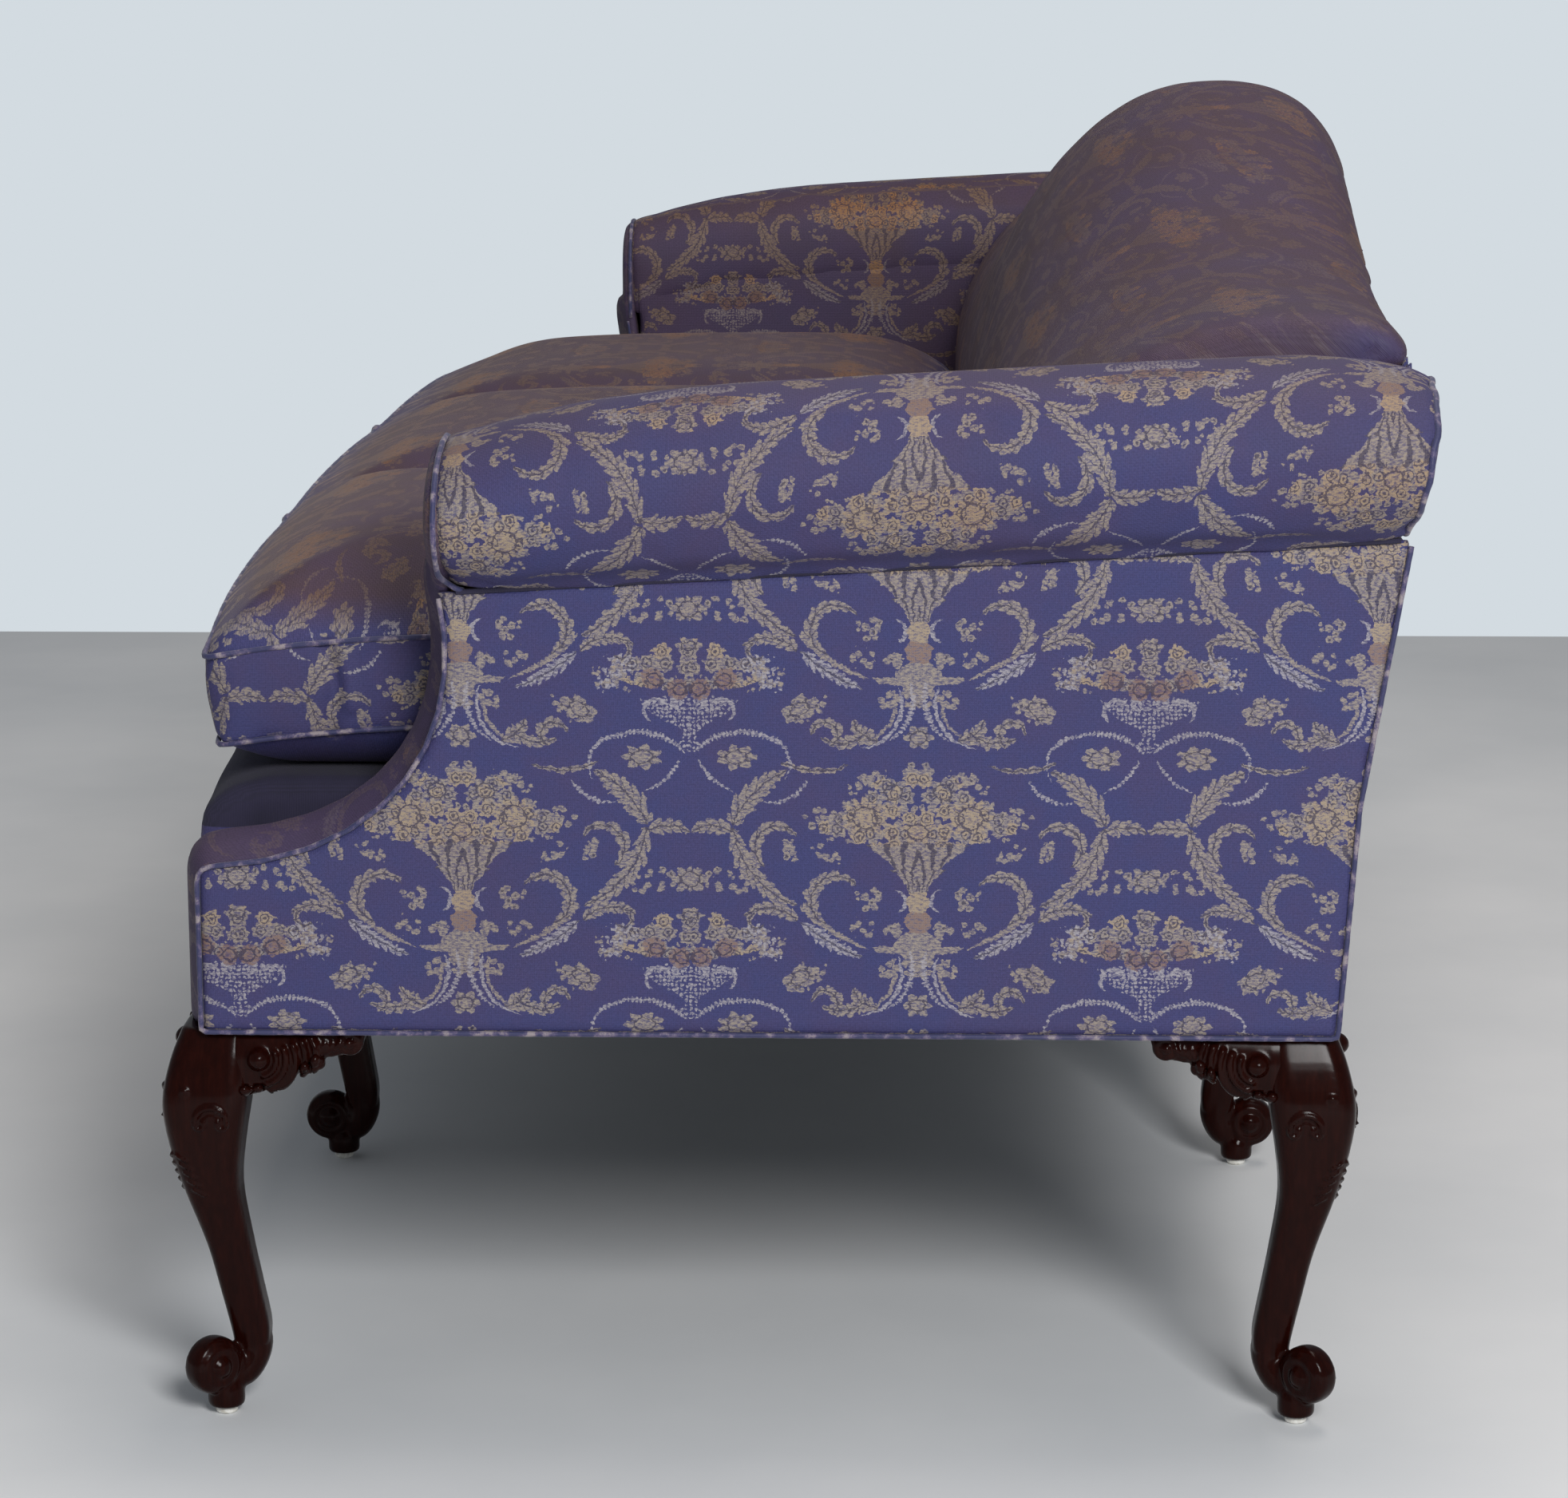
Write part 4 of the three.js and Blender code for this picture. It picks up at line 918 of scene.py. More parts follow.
# The facing gets much of the faded colours and little figure: partly sun fading, partly painted shade, for
# the strip stands in the shade of the roll.
fade_and_shade(facing, 0.7)
fade_and_shade(facing, 0.75, "plain")
smooth(facing)
for strip in dress_both(facing, "faded_brocade", faded_brocade, "arm_facing"):
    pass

# %% Inner arm pads
PAD_LOW, PAD_RISE = 0.50, 0.058
arm_pad = stuffing("inner_arm_pad_right", "arm_inner_pad_right", 6, 4)
points = points_of(arm_pad)
share = np.clip((points[:, 2] - PAD_LOW) / (points[:, 2].max() - PAD_LOW), 0, 1)
points += np.outer(share, (-0.002, 0, PAD_RISE))
move_points(arm_pad, points)
print("The inner pads reach", round(points[:, 2].max(), 3), "m, under the rolls' widest line.")
lay_cloth(arm_pad, box_cloth(0, ARM_FOOT, -ARM_AXIS))
fade_and_shade(arm_pad, 0.72)
smooth(arm_pad)
for pad in dress_both(arm_pad, "faded_brocade", faded_brocade, "arm_inner_pad"):
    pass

# %% The back
CREST_TOP, CREST_DROP, HUMP = 0.864, 0.122, 0.43
BACK_END = 0.8457


def crest_line(x):
    """Height of the back's crest along the sofa."""
    return CREST_TOP - CREST_DROP * (1 - np.exp(-(x / HUMP) ** 2))


def back_cloth(p, n, _):
    """The cloth runs up the front of the back, over the crest and down behind."""
    front = p[:, 2] + p[:, 1]
    behind = p[:, 1] + 2 * (crest_line(p[:, 0]) - 0.008) - p[:, 2]
    return np.stack([p[:, 0], np.where(n[:, 1] > 0.5, behind, front) - 0.55], axis=1)


back = stuffing("padded_back", "back_pad", 9, 16)
swell(back, 6)
PLEATS, PLEAT_WIDTH, PLEAT_DEPTH = 7, 6, 3.2
pleats = []
for way in (-1, 1):
    for i in range(PLEATS):
        foot = Vector((way * 842, 300 + 14 * i, 640 + 13 * i))
        tip = foot + Vector((-way * (52 + 9 * (i % 3)), 4 * i - 8, 16 + 5 * (i % 2)))
        pleats.append(([foot, tip], PLEAT_WIDTH, -PLEAT_DEPTH))
finer(back)
carve(back, pleats)
lay_cloth(back, back_cloth)


def crease_share(p, n):
    """1 in the crease between the back and an arm, behind the roll."""
    beside_arm = np.exp(-((BACK_END - np.abs(p[:, 0])) / 0.016) ** 2)
    return beside_arm * np.clip((p[:, 1] - 0.35) / 0.03, 0, 1) * np.clip((0.75 - p[:, 2]) / 0.02, 0, 1)


# The back gets the faded colours, partly as sun fading and partly as painted sheen; the crease beside each
# arm keeps more of the new blue and loses more figure, which darkens it, partly as painted shade.
fade_and_shade(back, lambda p, n: 0.95 - 0.7 * crease_share(p, n))
fade_and_shade(back, lambda p, n: 0.64 + 0.3 * crease_share(p, n) + 0.2 * (np.abs(n[:, 0]) > 0.5), "plain")
smooth(back)
dress(back, "frame", "faded_brocade", faded_brocade, "back_pad")

# %% The front border and the platform
PLATFORM_SEAM, BORDER_END = 0.398, 0.838
border = stuffing("padded_border_and_platform", "front_border", 8, 3, "seat_deck")
lay_cloth(border, box_cloth(0, 0.2884, 0))
fade_and_shade(border, 0.2)
fade_and_shade(border, lambda p, n: 1.0 * (np.abs(p[:, 0]) > BORDER_END), "plain")
smooth(border)
dress(border, "frame", "brocade", blue_brocade, "front_border", "seat_deck")
# The platform's faces take the dark cotton: painted shade under the cushions.
border.data.materials.append(cotton_painted_shade)
for face in border.data.polygons:
    face.material_index = int(face.center.z > PLATFORM_SEAM)


# %% Side and back panels
def stretched_panel(name, node, cell, outward, crown):
    """A covered board: its outer face stands out a little away from its edges."""
    piece = stuffing(name, node, cell, 1)
    points, normals = points_of(piece), normals_of(piece)
    face = normals @ np.array(outward) > 0.8
    rim = kdtree.KDTree(int((~face).sum()))
    for i, p in enumerate(points[~face]):
        rim.insert(p, i)
    rim.balance()
    reach = np.array([rim.find(p)[2] for p in points[face]])
    rise = crown * MM * (1 - np.exp(-reach / 0.03))
    points[face] += rise[:, None] * np.array(outward)
    move_points(piece, points)
    smooth(piece)
    return piece


# The back panel's own corner is cut off at a slant between two places along the sofa, up to its
# shoulder. The cover is carried over the cut: it rises from a base line, leaning as the posts do, and
# tucks in at the top.
SLANT, SHOULDER_TOP, RISE_FROM, POST_LEAN = (776, 846), 715, 540, 0.165
PANEL_TUCK, TUCK_FROM = 7, 600
panel = stretched_panel("covered_side_right", "side_panel_right", 4, (1, 0, 0), 3)
lay_cloth(panel, box_cloth(0, 0.2884, -PANEL_AXIS))
fade_and_shade(panel, 0.0)
dress_both(panel, "brocade", blue_brocade, "side_panel")
back_board = stretched_panel("covered_back", "back_panel", 7, (0, 1, 0), 3)
points = points_of(back_board) / MM
cut_top = np.interp(points[:, 0], SLANT, (SHOULDER_TOP, seam_line(0.4) / MM))
raised = np.clip((points[:, 2] - RISE_FROM) / (cut_top - RISE_FROM), 0, 1) * (points[:, 0] < SLANT[1])
points += np.outer((SHOULDER_TOP - cut_top) * raised, (0, POST_LEAN, 1))
points[:, 1] -= PANEL_TUCK * np.clip((points[:, 2] - TUCK_FROM) / (SHOULDER_TOP - TUCK_FROM), 0, 1)
move_points(back_board, points * MM)
lay_cloth(back_board, box_cloth(0, 0.2884, 0))
fade_and_shade(back_board, 0.0)
dress(back_board, "frame", "brocade", blue_brocade, "back_panel")

# %% Cords along the arms and the back
panel_rim = rim_of("side_panel_right", (1, 0, 0))
seamed = panel_rim[:, 2] > seam_line(panel_rim[:, 1] * MM) / MM - 12
first = next(i for i in range(len(panel_rim)) if seamed[i - 1] and not seamed[i])
panel_edge = np.roll(panel_rim, 1 - first, axis=0)[: int((~seamed).sum()) + 2]
panel_edge = evenly(panel_edge, 4) - [0.6, 0, 0]
panel_edge = panel_edge[panel_edge[:, 2] < seam_line(panel_edge[:, 1] * MM) / MM - 4]
front_half = panel_edge[(panel_edge[:, 1] < -190) & (panel_edge[:, 2] > 284)]
inner_edge = front_half * [0, 1, 1] + [848.2, 0, 0]
roll_front = rounded_ends(evenly(rim_of("arm_roll_right", (0, -1, 0)) - [0, 5, 0], 4, True) * MM) / MM
roll_rear = laid_on(evenly(rim_of("arm_roll_right", (0, 1, 0), 0.8), 5, True), arm_roll)
cords = {"panel_cord": (panel_edge, 1.8, False), "facing_cord": (inner_edge, 1.6, False),
         "roll_cord": (roll_front, 1.9, True), "roll_rear_cord": (roll_rear, 2.2, True)}
for name, (path, radius, closed) in cords.items():
    for side, way in (("right", 1), ("left", -1)):
        cord(f"{name}_{side}", path * [way, 1, 1], "frame", "brocade", radius, closed)
# A dark cotton cord sits in the seam under each roll: a painted shadow line, which also hides the arm board
# behind the seam.
PANEL_FACE = 934.2
shadow_seam_line = [(PANEL_FACE, y, seam_line(y * MM) / MM - 0.8) for y in range(-216, 400, 6)]
for side, way in (("right", 1), ("left", -1)):
    cord("painted_shadow_seam_" + side, np.array(shadow_seam_line) * [way, 1, 1], "frame", "brocade", 1.8, False, cotton_painted_shade)

# The crest's cord runs behind the back, lower under the hump; the posts lean more above their bend.
WELT_DROP, HUMP_DROP = 33, 37
BEND_HEIGHT, BEND_REAR, UPPER_LEAN = 430.6, 372.622, 0.168
across = np.linspace(-843, 843, 120)
hump = np.exp(-(across * MM / HUMP) ** 2)
welt_height = (CREST_TOP - CREST_DROP * (1 - hump)) / MM - WELT_DROP - HUMP_DROP * hump
rear_line = BEND_REAR + UPPER_LEAN * (welt_height + 3 - BEND_HEIGHT)
back_edge = laid_on(np.stack([across, rear_line, welt_height], axis=1), back, -1.2)
cord("back_cord", back_edge, "frame", "brocade", 1.9)

# %% [markdown]
# ## The loose cushions
#
# Each cushion is a box of cloth over a crowned filling: a domed top, a band of boxing between two welts
# and a belly that rests on the platform and hangs a little over its rounded front. Its corners are
# sewn, so they are sharp, and its front follows the bow of the sofa. The stuffed solid is drawn to that
# sewn shape point by point. The left cushion is the most used: its crown is lower, and its front is
# worn down.

# %% The sewn shape
LOWER_WELT, UPPER_WELT, SOLID_SHOULDER, BELLY, WELT_LIFT = 450.0, 512.0, 515.5, 430.6, 17.0
CROWNS = {"left": 61.0, "middle": 73.0, "right": 74.0}
FRONT_SLOPES, SLOPE_REACH = {"left": 0.5, "middle": 0.5, "right": 0.0}, 90.0
SEWN_CORNER, SOFT_CORNER, EAR = 4.0, 18.0, 4.5
FRONT_INSET, LOWER_SETBACK = 5.0, 7.0
CROWN_REACH, BELLY_REACH = 200.0, 60.0
KNOT, KNOT_REACH, INNER_CORNERS = 3.6, 8.0, 400.0
DROOP_FROM, DROOP_TO = 283.0, 845.0
HOLLOW, PUCKER, RIPPLE = 2.5, 0.8, 1.2
FRONT_END, BOW, BOW_HALF = 396.2, 35.0, 935.5


def front_line(x):
    """The bowed front of the seat, in millimetres."""
    return -FRONT_END - BOW * (1 - (x / BOW_HALF) ** 2)


def shares_of(p, ends, rear):
    """Where each place is between the cushion's ends and between its front and rear, from -1 to 1."""
    front = front_line(p[:, 0])
    across = 2 * (p[:, 0] - ends[0]) / (ends[1] - ends[0]) - 1
    back = 2 * (p[:, 1] - front) / (rear - front) - 1
    return np.clip(np.abs(across), 0, 1), np.clip(np.abs(back), 0, 1)


def welt_lift(p, ends, rear):
    """The filling lifts the welts between the corners, which droop."""
    across, back = shares_of(p, ends, rear)
    droop = np.interp(np.abs(p[:, 0]), [DROOP_FROM, DROOP_TO], [0.3, 1])
    return WELT_LIFT * (1 - droop * across ** 2.6 * back ** 2.6)


def sewn_inset(p, ends, rear, round_off, setback=0):
    """How far inside the sewn outline each place is, and the way in from the nearest side."""
    left, right = ends
    across, back = shares_of(p, ends, rear)
    ear = EAR * (across ** 12 * back ** 12)
    front = front_line(p[:, 0]) + FRONT_INSET + setback
    gaps = np.stack([p[:, 0] - left, right - p[:, 0], p[:, 1] - front, rear - p[:, 1]], axis=1)
    gaps += (ear - 1.5)[:, None]
    pull = np.exp(-gaps / round_off)
    total = pull.sum(axis=1)
    inward = np.stack([pull[:, 0] - pull[:, 1], pull[:, 2] - pull[:, 3]], axis=1)
    length = np.maximum(np.linalg.norm(inward, axis=1, keepdims=True), 1e-6)
    return -round_off * np.log(total), inward / length


def sew(piece, ends, rear, height, front_slope):
    """Draws the stuffed solid to the cushion's sewn shape."""
    points, normals = points_of(piece) / MM, normals_of(piece)
    above = (points[:, 2] > SOLID_SHOULDER) | (normals[:, 2] > 0.6)
    below = (points[:, 2] < LOWER_WELT) | (normals[:, 2] < -0.6)
    side = ~above & ~below
    band = np.clip((points[:, 2] - LOWER_WELT) / (SOLID_SHOULDER - LOWER_WELT), 0, 1)
    setback = LOWER_SETBACK * np.where(below, 1, np.where(above, 0, 1 - band))
    for _ in range(4):
        inset, inward = sewn_inset(points, ends, rear, SEWN_CORNER, setback)
        wrinkles = PUCKER * np.sin(points[:, 0] / 31 + points[:, 1] / 27) ** 2
        wanted = -HOLLOW * np.sin(math.pi * band) - wrinkles
        points[side, :2] += (inward * (wanted - inset)[:, None])[side]
        outside = ~side & (inset < 0)
        points[outside, :2] -= (inward * inset[:, None])[outside]
    inset, _ = sewn_inset(points, ends, rear, SEWN_CORNER, setback)
    soft, _ = sewn_inset(points, ends, rear, SOFT_CORNER, setback)
    deep = np.clip(np.minimum(inset, np.maximum(soft + 12, 0)), 0, None)
    lift = welt_lift(points, ends, rear)
    points[side, 2] = (LOWER_WELT + band * (UPPER_WELT - LOWER_WELT) + lift)[side]
    worn = 1 - front_slope * np.exp(-(points[:, 1] - front_line(points[:, 0])) / SLOPE_REACH)
    dome = (1 - (1 - np.clip(deep / CROWN_REACH, 0, 1)) ** 3.1) ** 0.85
    crown = lift + (height - WELT_LIFT) * worn * dome
    near_edge = np.exp(-deep / 30) * (deep > 4)
    ripple = RIPPLE * np.sin(points[:, 0] / 23 + np.sin(points[:, 1] / 41)) * near_edge
    points[above, 2] = UPPER_WELT + (crown + ripple)[above]
    bulge = 1 - (1 - np.clip(deep / BELLY_REACH, 0, 1)) ** 2.2
    points[below, 2] = (LOWER_WELT + lift - (LOWER_WELT + lift - BELLY) * bulge)[below]
    move_points(piece, points * MM)


def welt_path(ends, rear, height, setback):
    """The sewn outline at one height, found along rays from the cushion's middle."""
    middle = np.array([sum(ends) / 2, -150.0])
    angles = np.radians(np.arange(0, 360, 0.75))
    rays = np.stack([np.cos(angles), np.sin(angles)], axis=1)
    near, far = np.full(len(rays), 100.0), np.full(len(rays), 500.0)
    for _ in range(24):
        half = (near + far) / 2
        inside = sewn_inset(middle + rays * half[:, None], ends, rear, SEWN_CORNER, setback)[0] > 0
        near, far = np.where(inside, half, near), np.where(inside, far, half)
    outline = middle + rays * near[:, None]
    return np.column_stack([outline, height + welt_lift(outline, ends, rear)])


def corner_share(line, ends):
    """1 where a welt turns a front corner, where its cloth is gathered into a knot."""
    from_end = np.minimum(np.abs(line[:, 0] - ends[0]), np.abs(line[:, 0] - ends[1]))
    from_front = np.abs(line[:, 1] - front_line(line[:, 0]) - FRONT_INSET)
    return np.exp(-((from_end + from_front) / KNOT_REACH) ** 2) * (np.abs(line[:, 0]) < INNER_CORNERS)


def cushion_cloth(middle):
    """Boxing runs round the sides; the top is one square of cloth, laid from front to back."""
    def where(p, n, _):
        flat = np.abs(n[:, 2]) > 0.45
        end = np.abs(n[:, 0]) > np.abs(n[:, 1])
        u = np.where(~flat & end, p[:, 1] + 0.355, p[:, 0] - middle)
        v = np.where(flat, p[:, 1] + 0.30, p[:, 2] - 0.538)
        return np.stack([u, v], axis=1)
    return where


# %% The cushions
def sun_and_sheen_on_cushion(p, n):
    """The top has faded most, down to the boxing: partly sun fading, partly painted sheen, which grows on
    upward faces.
    """
    return np.clip((p[:, 2] - 0.53) / 0.022, 0, 1) * (0.72 + 0.28 * np.clip(n[:, 2], 0, 1))


def wear_and_shade_on_cushion(p, n):
    """The belly is plain cloth, its dark figureless look partly painted shade under the cushion's front, and
    sitting has rubbed the figure off the top.
    """
    return np.clip(-2.5 * n[:, 2] - 0.5, 0, 1) + 0.35 * np.clip(2 * n[:, 2] - 1, 0, 1)


for side in ("left", "middle", "right"):
    node, body = "seat_cushion_" + side, side + "_cushion"
    cushion = stuffing("sewn_cushion_" + side, node, 6, 2)
    swell(cushion, 5)
    low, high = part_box(node)
    ends, rear = (low.x / MM, high.x / MM), high.y / MM
    sew(cushion, ends, rear, CROWNS[side], FRONT_SLOPES[side])
    apply(cushion, "SMOOTH", factor=0.3, iterations=1)
    finer(cushion)
    folds = [([(x, -316, 522), (x, -309, 494), (x, -312, 462)], 8, -4) for x in ends]
    folds += [([(x, -302, 518), (x, -298, 480)], 7, 2.5) for x in ends]
    carve(cushion, folds)
    lay_cloth(cushion, cushion_cloth((low.x + high.x) / 2))
    fade_and_shade(cushion, sun_and_sheen_on_cushion)
    fade_and_shade(cushion, wear_and_shade_on_cushion, "plain")
    smooth(cushion)
    dress(cushion, body, "cushion_brocade", cushion_brocade, node)
    for level, height, setback in (("upper", UPPER_WELT, 0), ("lower", LOWER_WELT, LOWER_SETBACK)):
        welt = welt_path(ends, rear, height, setback)
        knots = corner_share(evenly(welt, CORD_STEP, True), ends) if level == "upper" else 0
        bulk = 1.9 + KNOT * knots
        cord(f"{level}_welt_{side}", welt, body, "cushion_brocade", bulk, True)

# %% [markdown]
# ## The legs
#
# A cabriole leg is sawn from a square block, so it keeps four faces and an arris while it swells at the
# knee and draws in at the ankle. One leg is made and copied. It is swept by extruding a rounded square
# from the frame down, then joined with the heel, the scroll and the pad in one skin of even small
# faces, which takes the carving: raised or sunk strokes that follow the surface.

# %% Leg outline
# Shares of the leg's height and of its knee: how high, and how far out the outer and the inner face
# stand.
LEG_TOP, LEG_HEIGHT, KNEE = 275.7, 276, 60
LEG_OUTLINE = [(1, .34, -.42), (.92, .48, -.41), (.82, .57, -.38), (.71, .51, -.3), (.59, .37, -.25),
               (.44, .165, -.33), (.32, .05, -.415), (.22, -.04, -.485), (.17, -.08, -.48)]
# The heel's middle line, as shares: how far out, how high, and its radius.
HEEL_LINE = [(-.26, .21, .22), (-.28, .15, .22), (-.18, .1, .2), (-.04, .085, .14)]
# Turned profiles, as radius and place on the axis: half of the foot's scroll, the pad below it and the
# glide.
WHORL = [(0, 14.5), (4, 14), (7, 11.6), (8.4, 9.4), (10, 10.2), (12.4, 11.4), (14.6, 10), (16, 8),
         (17.6, 8.6), (19.2, 6.6), (20, 3), (20, -3)]
PAD_PROFILE = [(0, 5.3), (11.6, 5.3), (12.7, 8), (12.7, 14), (12, 19), (10, 23), (0, 25)]
GLIDE_PROFILE = [(0, 0), (5.6, 0), (6.9, 0.6), (7.5, 1.8), (7.5, 5), (0, 5)]
SCROLL_HEIGHT, SCROLL_AHEAD = 36, 10


def flowing(stations, steps):
    """Points on one smooth curve through the stations."""
    line = np.array(stations, float)
    padded = np.vstack([2 * line[0] - line[1], line, 2 * line[-1] - line[-2]])
    made = []
    for i in range(len(line) - 1):
        a, b, c, d = padded[i:i + 4]
        for t in np.arange(steps) / steps:
            made.append(0.5 * (2 * b + (c - a) * t + (2 * a - 5 * b + 4 * c - d) * t ** 2
                               + (3 * b - a - 3 * c + d) * t ** 3))
    return np.vstack([made, line[-1]])


def shaft(corner):
    """The square shaft, extruded from the frame down; a corner leg leans both ways, others only ahead."""
    stations = [(up * LEG_TOP, (outer - inner) / 2 * KNEE, (outer + inner) / 2 * KNEE)
                for up, outer, inner in flowing(LEG_OUTLINE, 4)]
    height, half, lean = stations[0]
    top = Vector((lean * corner, lean, height)) * MM
    bpy.ops.object.select_all(action="DESELECT")
    bpy.ops.mesh.primitive_plane_add(size=2 * half * MM, location=top)
    piece = bpy.context.object
    bpy.ops.object.transform_apply(location=True, rotation=False, scale=False)
    bpy.ops.object.mode_set(mode="EDIT")
    bpy.ops.mesh.select_all(action="SELECT")
    bpy.ops.mesh.bevel(offset=0.46 * half * MM, segments=5, affect="VERTICES")
    for station in stations[1:]:
        bpy.ops.mesh.extrude_region_move()
        drop, grow, move = station[0] - height, station[1] / half, station[2] - lean
        centre = Vector((lean * corner, lean, height)) * MM
        bpy.ops.transform.resize(value=(grow, grow, 1), center_override=centre)
        bpy.ops.transform.translate(value=Vector((move * corner, move, drop)) * MM)
        height, half, lean = station
    bpy.ops.object.mode_set(mode="OBJECT")
    put_right(piece, merge=False)
    return piece


def turned(profile, centre, along):
    """A profile of (radius, place on the axis) spun round an axis through the centre."""
    mesh = bpy.data.meshes.new("turned")
    edges = [(i, i + 1) for i in range(len(profile) - 1)]
    mesh.from_pydata([(r * MM, 0, h * MM) for r, h in profile], edges, [])
    piece = placed("turned", mesh)
    select_only(piece)
    bpy.ops.object.mode_set(mode="EDIT")
    bpy.ops.mesh.select_all(action="SELECT")
    bpy.ops.mesh.spin(steps=40, angle=2 * math.pi, center=(0, 0, 0), axis=(0, 0, 1))
    bpy.ops.object.mode_set(mode="OBJECT")
    put_right(piece)
    turn = Vector(along).to_track_quat("Z", "Y").to_matrix().to_4x4()
    piece.matrix_world = Matrix.Translation(Vector(centre) * MM) @ turn
    bpy.ops.object.transform_apply()
    return piece


def bead(centre, radius):
    """A carved ball."""
    bpy.ops.object.select_all(action="DESELECT")
    bpy.ops.mesh.primitive_ico_sphere_add(subdivisions=3, radius=radius * MM, location=Vector(centre) * MM)
    bpy.ops.object.transform_apply()
    return bpy.context.object


def one_skin(name, parts, cell, relax=2):
    """Joins closed parts into one skin of even small faces."""
    piece = joined(name, parts)
    apply(piece, "REMESH", mode="VOXEL", voxel_size=cell * MM)
    apply(piece, "SMOOTH", factor=0.5, iterations=relax)
    return piece


# %% One leg of each kind
def arc(centre, radius, start, end, plane, steps=12):
    """Points on an arc, its angles in degrees, drawn on the plane of two directions."""
    across, up = (Vector(v) for v in plane)
    angles = np.radians(np.linspace(start, end, steps + 1))
    return [Vector(centre) + radius * (math.cos(a) * across + math.sin(a) * up) for a in angles]


def knee_carving(axis, corner):
    """The C-scroll, beads and chip cuts on the knee's face that looks along one axis."""
    across = Vector((1, 0, 0)) if axis == 1 else Vector((0, 1, 0))
    up = Vector((0, 0, 1))
    middle = up * 214
    plane = (across, up)
    strokes = [(arc(middle, 11, 0, 180, plane), 1.9, 2.4), (arc(middle, 7, 20, 160, plane), 1.5, -1.2)]
    for way, start, end in ((1, 0, -230), (-1, 180, 410)):
        strokes.append((arc(middle + across * way * 7.5 - up, 3.2, start, end, plane), 1.7, 2.2))
    for way in (1,) if corner else (1, -1):
        edge = 17 if corner else 15
        strokes.append((arc(middle + across * way * edge + up * 22, 0.5, 0, 300, plane), 3, 1.8))
        for i in range(5):
            low = across * way * (edge - 2.6 * i) + up * (186 - 6.5 * i)
            strokes.append(([low, low + across * way * 8 + up * 5], 1.4, 1.8))
    return strokes


def whole_leg(name, corner):
    """A leg in one skin, carved on the faces that show: two at a corner, one elsewhere."""
    reach = math.sqrt(2) if corner else 1
    ahead = Vector((1, 1, 0)).normalized() if corner else Vector((0, 1, 0))
    side = Vector((-ahead.y, ahead.x, 0))
    heel = flowing(HEEL_LINE, 6)
    line = [ahead * out * KNEE * reach + Vector((0, 0, up * LEG_HEIGHT)) for out, up, _ in heel]
    whorl = WHORL + [(r, -h) for r, h in reversed(WHORL[:-1])]
    scroll = turned(whorl[:-1] + [(0, -14.5)], ahead * SCROLL_AHEAD + Vector((0, 0, SCROLL_HEIGHT)), side)
    pad = turned(PAD_PROFILE, (0, 0, 0), (0, 0, 1))
    parts = [shaft(corner), tapered_tube(line, [r * KNEE for _, _, r in heel]), scroll, pad]
    leg = one_skin(name, parts, 1.5, 5)
    carve(leg, knee_carving(1, corner), through=1)
    if corner:
        carve(leg, knee_carving(0, corner), through=0)
    smooth(leg)
    return leg


corner_leg = whole_leg("corner_leg", 1)
inner_leg = whole_leg("inner_leg", 0)

# %% Legs in place
SIDES = ("left", "inner_left", "inner_right", "right")
LEG_NAMES = [(row, side) for row in ("front", "rear") for side in SIDES]


def place_copy(source, name, at, flips):
    """A copy turned by mirroring and moved to its foot."""
    twin = mirrored(source, name, flips) if flips != (1, 1, 1) else copied(source, name)
    select_only(twin)
    bpy.ops.transform.translate(value=at)
    bpy.ops.object.transform_apply(location=True, rotation=False, scale=False)
    return twin


def stand_of(row, side):
    """Where a leg stands, which way it looks, and which way its side looks if it stands at a corner."""
    low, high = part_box(f"{row}_{side}_leg_glide")
    foot = Vector(((low.x + high.x) / 2, (low.y + high.y) / 2, 0))
    corner = not side.startswith("inner")
    return foot, -1 if row == "front" else 1, math.copysign(1, foot.x) if corner else 0


glide_shape = turned(GLIDE_PROFILE, (0, 0, 0), (0, 0, 1))
bpy.context.view_layer.update()
for row, side in LEG_NAMES:
    node = f"{row}_{side}_leg"
    foot, ahead, corner = stand_of(row, side)
    across = corner or 1
    leg = place_copy(corner_leg if corner else inner_leg, "carved_" + node, foot, (across, ahead, 1))
    dress(leg, "frame", "mahogany", mahogany, node)
    glide = place_copy(glide_shape, "turned_" + node + "_glide", foot, (1, 1, 1))
    smooth(glide)
    dress(glide, "frame", "nylon", nylon, node + "_glide")
for source in (corner_leg, inner_leg, glide_shape):
    bpy.data.objects.remove(source)

# %% [markdown]
# ## Knee brackets
#
# Beside each knee, a carved bracket ties the leg to the frame: a round boss, gadroons fanned about it
# like a shell, a plain hollow above and a small volute at the end. It is sawn to its outline, rounded
# over at the front, and carved. One bracket is made and set beside every leg.

# %% Bracket outline
# Places on the bracket are (along, down) from the leg's middle and from the frame.
BRACKET_EDGE = [(-6, 50), (0, 47), (17, 42), (30, 37), (40, 26), (50, 21), (62, 19), (70, 17), (77, 14),
                (80, 6)]
BRACKET_DEPTH, BRACKET_FRONT, BRACKET_SWELL = 29, 17, 10
BOSS_AT, BOSS_RADIUS, BOSS_SUNK = (10, 19), 7.8, 0.5
DROPS, DROP_PROUD = ((0, 41, 4.2), (9, 40, 3.4), (41, 27, 4), (49, 23, 5)), 3
VOLUTE_AT, VOLUTE_SUNK = (70, 10), 2.5
VOLUTE = [(0, -8), (8.5, -8), (9, 0), (8.2, 4), (6.2, 4.6), (5, 3.2), (3.4, 4.2), (2.6, 6), (0, 6.6)]
RIB_RADII, RIB_WIDTH, RIB_HEIGHT = (11.5, 18, 24.5, 31, 37.5), 2.9, 3.4


